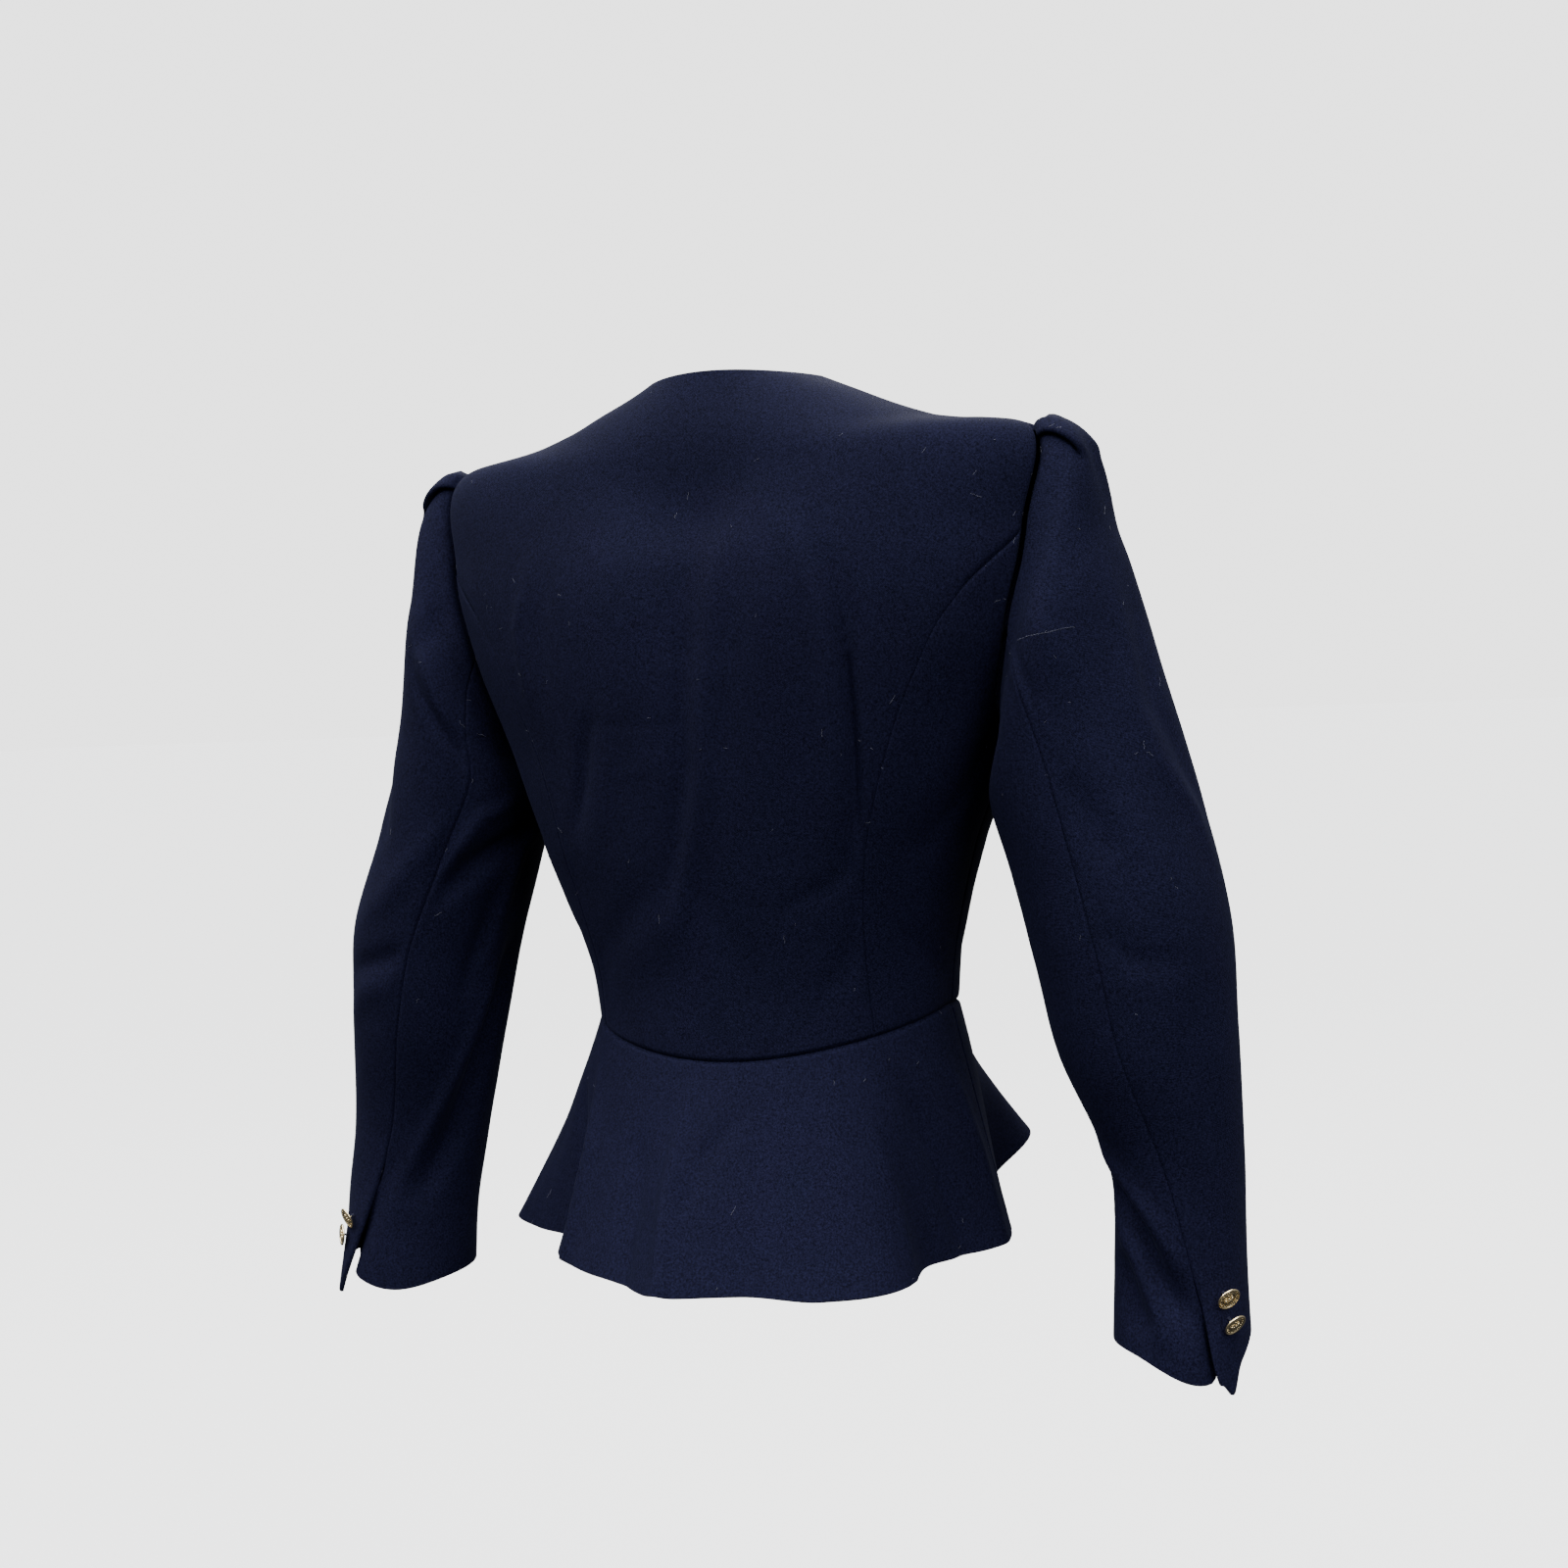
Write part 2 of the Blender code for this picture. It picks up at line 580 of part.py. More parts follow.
def sleeve_wall(name, turn, along, height, side):
    """A closed wall of a sleeve piece. Heights stand off the sleeve's surface, as in the pleat."""
    arm = LEFT_ARM if side > 0 else RIGHT_ARM
    surface = sleeve(turn, along, arm)
    out, round_ = sleeve_frame(turn, along, arm)
    surface[0], out[0] = on_armhole(turn[0])
    across = np.gradient(turn, axis=1) / TURN_PER_MM
    rise = np.gradient(height, axis=1)
    flat = np.abs(rise) < 1e-6
    length = np.hypot(across, rise)
    lean = np.where(flat, 0.0, -rise / length)[..., None]
    upright = np.where(flat, 1.0, across / length)[..., None]
    normals = out * upright + round_ * lean
    middle = surface + out * (height - CLOTH / 2)[..., None]
    middle = drawn_in(middle, normals)
    outer, inner = middle + normals * CLOTH / 2, middle - normals * CLOTH / 2
    if side < 0:
        outer, inner = mirrored(outer), mirrored(inner)
    return cloth_wall(name, outer, inner)


def to_hem(along, turn, cuff):
    """Moves a row near the cuff to follow the slant of the hem."""
    lowered = cuff.hem_drop * np.exp(-(((turn - cuff.hem_turn) / HEM_DROP_REACH) ** 2)) - cuff.hem_rise
    return along + lowered * ease((along - HEM_SLANT_FROM) / (SLEEVE_ROWS[-1] - HEM_SLANT_FROM))


def flap_place(row, turn, edge_turn, cuff):
    """Where a row of the upper sleeve runs along the sleeve, and how far the vent's flap stands off there."""
    far = (turn - edge_turn) / FLAP_WIDTH_TURN
    opened = ease((row - cuff.vent_top) / (SLEEVE_ROWS[-1] - cuff.vent_top))
    along = to_hem(row, turn, cuff) + cuff.flap_point * opened * np.exp(-(far**2))
    return along, cuff.flap_lift * opened * np.exp(-((far / FLAP_LIFT_WIDTH) ** 2))


def spread(samples, start, end):
    """The samples moved evenly to run from start to end."""
    share = (samples - samples[0]) / (samples[-1] - samples[0])
    return start + share * (end - start)


def upper_sleeve(side, suffix):
    arm, cuff = (LEFT_ARM, LEFT_CUFF) if side > 0 else (RIGHT_ARM, RIGHT_CUFF)
    front_samples = ARMHOLE_TURNS[SLEEVE_FRONT_JOIN:-1] - 360
    back_samples = ARMHOLE_TURNS[1: SLEEVE_BACK_JOIN + 1]
    turn, along, height = [], [], []
    for row in SLEEVE_ROWS:
        seam_turn = float(back_seam_turn(row, arm))
        pleat, heights = pleat_profile(row)
        front = spread(front_samples, front_samples[0], -pleat[-1])[:-1]
        back = spread(back_samples, pleat[-1], seam_turn)[1:]
        top = heights[0] * min(row / PLEAT_DIP_LENGTH, 1.0)
        turns = np.concatenate([front, -pleat[::-1], [0.0], pleat, back])
        rises = np.concatenate([front * 0, heights[::-1], [top], heights, back * 0])
        places, lift = flap_place(row, turns, seam_turn, cuff)
        turn.append(turns)
        height.append(rises + lift)
        along.append(places)
    return sleeve_wall("upper_sleeve_" + suffix, np.array(turn), np.array(along), np.array(height), side)


def under_sleeve(side, suffix):
    arm, cuff = (LEFT_ARM, LEFT_CUFF) if side > 0 else (RIGHT_ARM, RIGHT_CUFF)
    samples = ARMHOLE_TURNS[SLEEVE_BACK_JOIN: SLEEVE_FRONT_JOIN + 1]
    samples = np.interp(np.arange(0, len(samples) - 0.9, 1 / UNDER_SPLIT), range(len(samples)), samples)
    turn, along, height = [], [], []
    for row in SLEEVE_ROWS:
        seam_turn = float(back_seam_turn(row, arm))
        lap = VENT_UNDERLAP_TURN * ease((row - cuff.vent_top - VENT_LAP_FROM) / VENT_LAP_OVER)
        turns = spread(samples, seam_turn - lap, samples[-1])
        dropped = ease((row - cuff.vent_top) / VENT_DROP_OVER + 1)
        dropped = dropped * ease((seam_turn + VENT_DROP_TURN - turns) / VENT_DROP_EASE)
        turn.append(turns)
        height.append(-UNDERLAP_DROP * dropped)
        along.append(to_hem(row, turns, cuff))
    sleeve_wall("under_sleeve_" + suffix, np.array(turn), np.array(along), np.array(height), side)


# Peplum


def peplum(azimuth, fraction, waist_point):
    """Point of the peplum, fraction 0 at the waist and 1 at the hem, fanned out from its waist point."""
    a = np.radians(azimuth)
    azimuths = column(HEM, "azimuth")
    hem_radius = around(azimuths, column(HEM, "radius"), azimuth)
    hem_height = around(azimuths, column(HEM, "height"), azimuth)
    near_by = [around(azimuths, column(HEM, "radius"), azimuth + step) for step in FLUTE_SMOOTHING]
    smooth = sum(near_by) / len(near_by)
    centre = np.array([0.0, PEPLUM_CENTRE_Y, 0.0])
    start = np.linalg.norm((waist_point - centre)[..., :2], axis=-1)
    r = start + (smooth - start) * fraction + (hem_radius - smooth) * fraction ** FLUTE_START_POWER
    z = waist_point[..., 2] + (hem_height - waist_point[..., 2]) * fraction
    return np.stack([r * np.sin(a), PEPLUM_CENTRE_Y + r * np.cos(a), z], -1)


def waist_line():
    """The waist seam's samples all round, from front edge to front edge: angles, points and ways out."""
    half = [
        np.linspace(0, BACK_SEAM[0].angle, BACK_COLUMNS // 2 + 1),
        np.linspace(BACK_SEAM[0].angle, SIDE_SEAM_ANGLE, SIDE_JOIN - BACK_JOIN + 1)[1:],
        np.linspace(SIDE_SEAM_ANGLE, FRONT_SEAM[0].angle, FRONT_JOIN - SIDE_JOIN + 1)[1:],
        np.linspace(FRONT_SEAM[0].angle, 180 + OVERLAP_ANGLE, FRONT_COLUMNS + 1)[1:],
    ]
    left = np.concatenate(half)
    angles = np.concatenate([-left[:0:-1], left])
    points = body(angles, WAIST)
    return angles, points, body_normal(angles, WAIST)


def peplum_piece(name, first, last, drop_side=0):
    """One piece of the peplum between two angles of the waist seam."""
    angles, points, normals = waist_line()
    chosen = np.flatnonzero((angles > first - 1e-6) & (angles < last + 1e-6))
    steps = np.arange(0, len(chosen) - 1 + 1e-9, 1 / PEPLUM_SPLIT)
    top = np.stack([np.interp(steps, range(len(chosen)), points[chosen, k]) for k in range(3)], -1)
    top_out = np.stack([np.interp(steps, range(len(chosen)), normals[chosen, k]) for k in range(3)], -1)
    azimuth = np.degrees(np.unwrap(np.arctan2(top[:, 0], top[:, 1] - PEPLUM_CENTRE_Y)))[None]
    fraction = np.linspace(0, 1, PEPLUM_ROWS + 1)[:, None]
    grid = peplum(azimuth, fraction, top[None])
    across = peplum(azimuth + 0.5, fraction, top[None]) - peplum(azimuth - 0.5, fraction, top[None])
    upward = np.gradient(grid, axis=0)
    out = unit(np.cross(across, upward))
    out[0] = top_out
    grid = drawn_in(grid, out)
    if drop_side:
        drop = underlap(np.interp(steps, range(len(chosen)), angles[chosen]) * drop_side)
        grid = grid - out * drop[None, :, None]
    return cloth_wall(name, grid, grid - out * CLOTH)


# Buttons


def button(name, cloth, near, radius, shank=FRONT_SHANK, droop=0.0):
    """A domed metal button with a raised rim, whose shank starts on the cloth nearest to a point
    and leans down from the cloth's outward direction by the droop."""
    cloth_faces = [face.vertices for face in cloth.data.polygons]
    facets = BVHTree.FromPolygons([corner.co for corner in cloth.data.vertices], cloth_faces)
    seat, out, _, _ = facets.find_nearest(Vector(near) * MM)
    shape = bmesh.new()
    line = [(0.0, 0.0), (SHANK_SHARE, 0.0)]
    line += [(point.share, shank + point.height) for point in BUTTON_PROFILE]
    corners = [shape.verts.new((share * radius, 0.0, height)) for share, height in line]
    edges = [shape.edges.new(pair) for pair in zip(corners, corners[1:])]
    bmesh.ops.spin(
        shape, geom=corners + edges, cent=(0, 0, 0), axis=(0, 0, 1), angle=2 * np.pi,
        steps=BUTTON_SIDES, use_merge=True,
    )
    bmesh.ops.remove_doubles(shape, verts=shape.verts, dist=1e-4)
    bmesh.ops.recalc_face_normals(shape, faces=shape.faces)
    lean = Matrix.Rotation(np.radians(droop), 4, out.cross(Vector((0, 0, -1))))
    turn = lean @ Vector((0, 0, 1)).rotation_difference(out).to_matrix().to_4x4()
    foot = SHANK_CLEARANCE + SHANK_SHARE * radius * np.sin(np.radians(droop))
    place = Matrix.Translation(seat + out * foot * MM) @ turn @ Matrix.Scale(MM, 4)
    bmesh.ops.transform(shape, matrix=place, verts=shape.verts)
    mesh = bpy.data.meshes.new(name)
    shape.to_mesh(mesh)
    shape.free()
    add_object(name, mesh, GOLD, 0.3, 1.0)


def front_buttons(front):
    for number, station in enumerate(FRONT_BUTTON_STATIONS, 1):
        button(f"front_button_{number}", front, body(180.0, station), FRONT_BUTTON_RADIUS)


def cuff_buttons(upper, side, suffix):
    arm, cuff = (LEFT_ARM, LEFT_CUFF) if side > 0 else (RIGHT_ARM, RIGHT_CUFF)
    places = LEFT_CUFF_BUTTONS if side > 0 else RIGHT_CUFF_BUTTONS
    for number, place in enumerate(places, 1):
        edge = back_seam_turn(place.row, arm)
        turn = np.array([[edge - place.from_edge]])
        along, lift = flap_place(place.row, turn, edge, cuff)
        near = sleeve(turn, along, arm) + sleeve_frame(turn, along, arm)[0] * lift[..., None]
        button(
            f"cuff_button_{suffix}_{number}", upper, near[0, 0] * (side, 1, 1), BUTTON_RADIUS,
            place.shank, place.droop,
        )


def clear_scene():
    for old in list(bpy.data.objects):
        bpy.data.objects.remove(old, do_unlink=True)


def main():
    clear_scene()
    back_panel()
    for side, suffix in ((1, "left"), (-1, "right")):
        side_back_panel(side, suffix)
        side_front_panel(side, suffix)
        upper = upper_sleeve(side, suffix)
        under_sleeve(side, suffix)
        cuff_buttons(upper, side, suffix)
    front_panel(1, "left")
    front_buttons(front_panel(-1, "right"))
    peplum_piece("peplum_back", -SIDE_SEAM_ANGLE, SIDE_SEAM_ANGLE)
    peplum_piece("peplum_front_left", SIDE_SEAM_ANGLE, 180 + OVERLAP_ANGLE, 1)
    peplum_piece("peplum_front_right", -180 - OVERLAP_ANGLE, -SIDE_SEAM_ANGLE)


if __name__ == "__main__":
    main()
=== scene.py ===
"""The looks of a navy peplum blazer with gold coloured buttons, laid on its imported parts.

Sizes are in millimetres. +Z is up, the jacket's front faces -Y and its left sleeve is at +X.
"""

from collections import namedtuple

import bmesh
import bpy
import numpy as np
from mathutils import Matrix, Vector, noise
from mathutils.bvhtree import BVHTree


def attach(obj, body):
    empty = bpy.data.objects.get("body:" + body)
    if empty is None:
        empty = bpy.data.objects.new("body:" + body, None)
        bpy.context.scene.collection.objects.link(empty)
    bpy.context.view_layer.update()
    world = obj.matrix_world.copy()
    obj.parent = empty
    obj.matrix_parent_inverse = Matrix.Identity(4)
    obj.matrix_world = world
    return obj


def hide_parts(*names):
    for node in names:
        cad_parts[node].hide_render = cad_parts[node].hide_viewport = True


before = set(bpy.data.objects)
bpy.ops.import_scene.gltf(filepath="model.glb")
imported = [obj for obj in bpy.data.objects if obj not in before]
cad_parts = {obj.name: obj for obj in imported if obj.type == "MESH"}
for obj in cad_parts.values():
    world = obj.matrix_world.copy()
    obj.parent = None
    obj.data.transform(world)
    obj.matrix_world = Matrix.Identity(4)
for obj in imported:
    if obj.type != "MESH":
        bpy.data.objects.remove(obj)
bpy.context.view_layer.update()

# The form of the jacket's body
# The suiting is cut to curved panels that meet in pressed seams, from the waist seam to the
# shoulders. All panels above the waist lie on this one hollow surface, as when it is worn.

MM = 0.001
Ring = namedtuple(
    "Ring", "name station side_z back_z front_z half_width side_y back_y front_y squareness roundness sway"
)
BODY_RINGS = [
    Ring("waist seam", -415, -407, -431, -415, 123, -11, 85, -107, 2.1, 1.2, 0),
    Ring("above the waist", -381, -376, -391, -384, 128, -10, 83, -110, 2.1, 1.3, 1),
    Ring("lower ribs", -340, -337, -345, -344, 140, -6, 86, -117, 2.15, 1.6, 3),
    Ring("ribs", -300, -299, -302, -302, 153, -3, 91, -126, 2.2, 2.0, 4),
    Ring("chest", -235, -235, -238, -238, 176, -2, 96, -134, 2.25, 2.0, 0),
    Ring("low armhole", -165, -165, -174, -172, 203, 2, 97, -116, 2.3, 2.0, 0),
    Ring("mid armhole", -107, -107, -120, -125, 214, 6, 91, -90, 2.3, 2.0, 0),
    Ring("shoulder tip", -60, -46, -81, -98, 205, 10, 77, -76, 2.2, 2.0, 0),
    Ring("mid shoulder", -28, -32, -35, -82, 136, 11, 70, -64, 2.05, 2.0, 0),
    Ring("neck", 0, -1, 3, -68, 60, 2, 55, -52, 2.0, 2.0, 0),
]
WAIST, TIP, NECK = -415.0, -60.0, 0.0
Swell = namedtuple("Swell", "name angle station angle_reach station_reach height")
SWELLS = [Swell("bust", 142, -232, 20, 50, 14), Swell("shoulder blade", 30, -125, 20, 70, 4)]


def through(knots, values, x):
    """A smooth curve through the values at the knots, read at x."""
    knots, values = np.asarray(knots, float), np.asarray(values, float)
    slopes = np.gradient(values, knots)
    i = np.clip(np.searchsorted(knots, x, side="right") - 1, 0, len(knots) - 2)
    span = knots[i + 1] - knots[i]
    t = (x - knots[i]) / span
    rise = values[i + 1] - values[i]
    bend = slopes[i] * span - rise
    turn = rise - slopes[i + 1] * span
    return values[i] + rise * t + t * (1 - t) * (bend * (1 - t) + turn * t)


def around(knots, values, x):
    """The same for values that close round a full turn."""
    knots, values = list(knots), list(values)
    x = (np.asarray(x, float) - knots[0]) % 360.0 + knots[0]
    wide = [knots[-3] - 360.0, knots[-2] - 360.0, *knots, knots[1] + 360.0, knots[2] + 360.0]
    return through(wide, [values[-3], values[-2], *values, values[1], values[2]], x)


def unit(v):
    return v / np.maximum(np.linalg.norm(v, axis=-1, keepdims=True), 1e-9)


def ease(x):
    x = np.clip(x, 0.0, 1.0)
    return x * x * (3 - 2 * x)


def column(table, name):
    return [getattr(row, name) for row in table]


def ring_value(name, station):
    return through(column(BODY_RINGS, "station"), column(BODY_RINGS, name), station)


def body(angle, station):
    """Points of the body's surface. The angle runs from the middle of the back over the left side."""
    angle, station = np.broadcast_arrays(np.asarray(angle, float), np.asarray(station, float))
    s, c = np.sin(np.radians(angle)), np.cos(np.radians(angle))
    behind = c >= 0
    side_y = ring_value("side_y", station)
    depth = np.where(behind, ring_value("back_y", station) - side_y, side_y - ring_value("front_y", station))
    power = ring_value("squareness", station)
    r = ((np.abs(s) / ring_value("half_width", station)) ** power + (np.abs(c) / depth) ** power) ** (-1 / power)
    for swell in SWELLS:
        off = (np.abs((angle + 180.0) % 360.0 - 180.0) - swell.angle) / swell.angle_reach
        r = r + swell.height * np.exp(-off * off - ((station - swell.station) / swell.station_reach) ** 2)
    side_z = ring_value("side_z", station)
    end_z = np.where(behind, ring_value("back_z", station), ring_value("front_z", station))
    height = side_z + np.abs(c) ** ring_value("roundness", station) * (end_z - side_z)
    sway = np.interp(station, column(BODY_RINGS, "station"), column(BODY_RINGS, "sway"))
    return np.stack([r * s + sway, side_y + r * c, height], -1)


def body_out(angle, station):
    across = body(angle + 0.5, station) - body(angle - 0.5, station)
    upward = body(angle, station + 1.0) - body(angle, station - 1.0)
    return unit(np.cross(upward, across))


# The suiting
# A smooth dark navy twill of fine yarn, matt, with a faint nap that greys where light grazes it.
# Each piece keeps the cut's own directions in its UV map, so the twill runs along the piece.


def feed(material, node, inputs):
    """Sets a node's sockets, and links those that are given another node's output."""
    for socket, value in inputs.items():
        if isinstance(value, bpy.types.NodeSocket):
            material.node_tree.links.new(value, node.inputs[socket])
        else:
            node.inputs[socket].default_value = value
    return node


def mixed(material, inputs, blend="MIX"):
    blended = material.node_tree.nodes.new("ShaderNodeMix")
    blended.data_type, blended.blend_type = "RGBA", blend
    return feed(material, blended, inputs).outputs["Result"]


def new_material(name):
    """An empty material with its nodes, its shader and the place on the piece."""
    material = bpy.data.materials.new(name)
    material.use_nodes = True
    nodes = material.node_tree.nodes
    return material, nodes, nodes["Principled BSDF"], nodes.new("ShaderNodeTexCoord").outputs["Object"]


def suiting():
    cloth, nodes, shader, place = new_material("navy_suiting")
    cut = nodes.new("ShaderNodeUVMap")
    cut.uv_map = "cut"
    twill = nodes.new("ShaderNodeTexWave")
    twill.wave_type, twill.bands_direction = "BANDS", "DIAGONAL"
    feed(cloth, twill, {"Scale": 340.0, "Distortion": 1.5, "Detail": 1.0, "Vector": cut.outputs["UV"]})
    yarns = nodes.new("ShaderNodeMapping")
    feed(cloth, yarns, {"Scale": (2600.0, 420.0, 1.0), "Vector": cut.outputs["UV"]})
    slub = nodes.new("ShaderNodeTexNoise")
    feed(cloth, slub, {"Scale": 1.0, "Detail": 2.0, "Vector": yarns.outputs["Vector"]})
    patches = nodes.new("ShaderNodeTexNoise")
    feed(cloth, patches, {"Scale": 14.0, "Detail": 3.0, "Vector": place})
    grain = nodes.new("ShaderNodeTexNoise")
    feed(cloth, grain, {"Scale": 800.0, "Detail": 2.5, "Roughness": 0.7, "Vector": place})
    grain_depth = nodes.new("ShaderNodeMapRange")
    feed(cloth, grain_depth, {
        "From Min": 0.30, "From Max": 0.70, "To Min": 0.28, "To Max": 1.85, "Value": grain.outputs["Fac"],
    })

    yarn = mixed(cloth, {
        "A": (0.0027, 0.0029, 0.0108, 1.0), "B": (0.0074, 0.0078, 0.0216, 1.0), "Factor": slub.outputs["Fac"],
    })
    worn = mixed(cloth, {"Factor": 0.35, "A": yarn, "B": patches.outputs["Fac"]}, "MULTIPLY")
    mottled = mixed(cloth, {"Factor": 1.0, "A": worn, "B": grain_depth.outputs["Result"]}, "MULTIPLY")

    weave, nap, pebble = [nodes.new("ShaderNodeBump") for _ in range(3)]
    feed(cloth, weave, {"Strength": 0.35, "Distance": 0.00012, "Height": twill.outputs["Fac"]})
    feed(cloth, nap, {
        "Strength": 0.5, "Distance": 0.00010, "Height": slub.outputs["Fac"], "Normal": weave.outputs["Normal"],
    })
    feed(cloth, pebble, {
        "Strength": 0.6, "Distance": 0.00022, "Height": grain.outputs["Fac"], "Normal": nap.outputs["Normal"],
    })
    feed(cloth, shader, {
        "Base Color": mottled, "Normal": pebble.outputs["Normal"], "Roughness": 0.82,
        "Specular IOR Level": 0.05, "Specular Tint": (0.60, 0.64, 1.0, 1.0),
        "Sheen Weight": 0.012, "Sheen Roughness": 0.45, "Sheen Tint": (0.45, 0.52, 1.0, 1.0),
    })
    return cloth


SUITING = suiting()
CLOTH = 1.4
POINT_PITCH, CLOSE_TO_EDGE = 2.7, [0.6, 1.3, 2.1, 3.0]
Cut = namedtuple("Cut", "width length area")
SeamLine = namedtuple("SeamLine", "name depth width pucker")
PLAIN_SEAM = SeamLine("plain pressed seam", 1.3, 0.9, 0.05)
WAIST_SEAM = SeamLine("waist seam", 1.6, 1.5, 0.16)
ARMHOLE_SEAM = SeamLine("armhole seam", 2.6, 2.6, 0.12)
FREE_EDGE = SeamLine("free edge", 0.0, 1.0, 0.0)
PUCKER_REACH, PUCKER_START, SEAM_CHANGE = 9.0, 2.0, 0.03
PUCKER_LENGTH, PUCKER_SWAY, PUCKER_SWAY_LENGTH = 4.7, 1.7, 23.0
Crease = namedtuple("Crease", "name path depth width")
FLAT_BESIDE_SEAM = 10.0
Unevenness = namedtuple("Unevenness", "across down share")
HANGING = [Unevenness(46, 150, 1.0), Unevenness(19, 44, 0.28)]
HANGING_SHIFT = (7.3, 3.1, 5.7)


def places(corners, span):
    """Shares of the way across a piece, through each corner and closer together beside its edges."""
    parts = [
        np.linspace(a, b, max(2, round((b - a) * span / POINT_PITCH)), endpoint=False)
        for a, b in zip(corners, corners[1:])
    ]
    near = np.array(CLOSE_TO_EDGE) / span
    return np.unique(np.round(np.concatenate([*parts, [1.0], near, 1 - near]), 6))


def runs(grid):
    """Distances along the cloth to the left, right, lower and upper edges of a piece."""
    across = np.linalg.norm(np.diff(grid, axis=1), axis=-1)
    upward = np.linalg.norm(np.diff(grid, axis=0), axis=-1)
    left = np.concatenate([np.zeros((len(grid), 1)), np.cumsum(across, 1)], 1)
    low = np.concatenate([np.zeros((1, grid.shape[1])), np.cumsum(upward, 0)], 0)
    return {"left": left, "right": left[:, -1:] - left, "low": low, "top": low[-1:] - low}


def creased(grid, creases):
    """How far soft troughs and ridges lower or lift each point. A path is a list of points in the cloth."""
    lift = np.zeros(grid.shape[:2])
    for crease in creases:
        path = np.asarray(crease.path, float)
        steps = np.linalg.norm(np.diff(path, axis=0), axis=1)
        ends = np.concatenate([[0], np.cumsum(steps)]) / steps.sum()
        nearest = np.full(grid.shape[:2], 1e9)
        share = np.zeros(grid.shape[:2])
        for a, b, low, high in zip(path, path[1:], ends, ends[1:]):
            t = np.clip(((grid - a) @ (b - a)) / np.dot(b - a, b - a), 0, 1)
            away = np.linalg.norm(grid - (a + t[..., None] * (b - a)), axis=-1)
            closer = away < nearest
            nearest = np.where(closer, away, nearest)
            share = np.where(closer, low + t * (high - low), share)
        taper = np.sin(np.pi * np.clip(share * 0.96 + 0.02, 0, 1)) ** 0.6
        lift += crease.depth * taper * np.exp(-((nearest / crease.width) ** 2))
    return lift


def drape(grid, height, seed):
    """Slow unevenness of hanging cloth, longer down the cloth than across it."""
    shift = Vector([seed * step for step in HANGING_SHIFT])
    lift = 0.0
    for size in HANGING:
        scaled = grid.reshape(-1, 3) / (size.across, size.across, size.down)
        lift = lift + size.share * np.array([noise.noise(Vector(p.tolist()) + shift) for p in scaled])
    return height * lift.reshape(grid.shape[:2])


def along_edge(share, seams, name):
    """A value of the seams that follow each other along an edge, each from its own share of the way."""
    value = np.full_like(share, getattr(seams[0][1], name))
    for start, seam in seams[1:]:
        value = value + (getattr(seam, name) - value) * ease((share - start) / SEAM_CHANGE + 0.5)
    return value


def seams_pressed(grid, sewn, seed):
    """How far a piece sinks to its seams, with the slight puckers of the sewing beside them."""
    sink, puckers = np.zeros(grid.shape[:2]), np.zeros(grid.shape[:2])
    away = runs(grid)
    for side, seams in sewn.items():
        d = away[side]
        along = away["low"] if side in ("left", "right") else away["left"]
        share = along / (along[-1:] if side in ("left", "right") else along[:, -1:])
        wave = np.sin(along / PUCKER_LENGTH + seed + PUCKER_SWAY * np.sin(along / PUCKER_SWAY_LENGTH + seed))
        near = np.exp(-((d / along_edge(share, seams, "width")) ** 2))
        sink = np.maximum(sink, along_edge(share, seams, "depth") * near)
        pucker = along_edge(share, seams, "pucker") * wave
        puckers += pucker * np.exp(-d / PUCKER_REACH) * ease(d / PUCKER_START)
    return sink + puckers


def placed(name, data):
    """A new object of the scene with this mesh, lamp or camera."""
    thing = bpy.data.objects.new(name, data)
    bpy.context.scene.collection.objects.link(thing)
    return thing


def cloth_piece(node, grid, offset):
    """A sheet of suiting over a grid of its points, in place of a CAD node."""
    name = node + "_cloth"
    rows, columns = grid.shape[:2]
    sheet = bmesh.new()
    bmesh.ops.create_grid(sheet, x_segments=columns - 1, y_segments=rows - 1, size=0.5)
    away = runs(grid)
    cut = sheet.loops.layers.uv.new("cut")
    for corner in sheet.verts:
        j, i = round((corner.co.x + 0.5) * (columns - 1)), round((corner.co.y + 0.5) * (rows - 1))
        corner.co = grid[i, j] * MM
        for loop in corner.link_loops:
            loop[cut].uv = (away["left"][i, j] * MM, away["low"][i, j] * MM)
    for face in sheet.faces:
        face.smooth = True
    mesh = bpy.data.meshes.new(name)
    sheet.to_mesh(mesh)
    sheet.free()
    mesh.materials.append(SUITING)
    piece = placed(name, mesh)
    wall = piece.modifiers.new("thickness", "SOLIDIFY")
    wall.thickness, wall.offset = CLOTH * MM, offset
    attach(piece, "root")
    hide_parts(node)


# Back panel
# One wide piece of suiting with no seam down the middle, from the waist seam to the back neck,
# sewn to the side backs, the sleeves and both fronts. It hangs in long folds from the shoulder blades.

SeamPoint = namedtuple("SeamPoint", "station angle")
BACK_SEAM = [
    SeamPoint(-415, 58), SeamPoint(-359, 56.7), SeamPoint(-300, 57.2), SeamPoint(-234, 59.5),
    SeamPoint(-191, 63.8), SeamPoint(-155, 68.8), SeamPoint(-127, 75.6), SeamPoint(-110.6, 81.2),
]
ArmholePoint = namedtuple("ArmholePoint", "turn station angle")
ARMHOLE = [
    ArmholePoint(0, -60, 90), ArmholePoint(40, -84, 84), ArmholePoint(80, -122, 80.5),
    ArmholePoint(120, -170, 79), ArmholePoint(150, -212, 81.5), ArmholePoint(180, -235, 92),
    ArmholePoint(210, -214, 102), ArmholePoint(240, -182, 104.5), ArmholePoint(275, -145, 103.2),
    ArmholePoint(320, -93, 98), ArmholePoint(360, -60, 90),
]
BACK_JOIN_TURN, SIDE_JOIN_TURN, FRONT_JOIN_TURN = 68.0, 180.0, 275.0
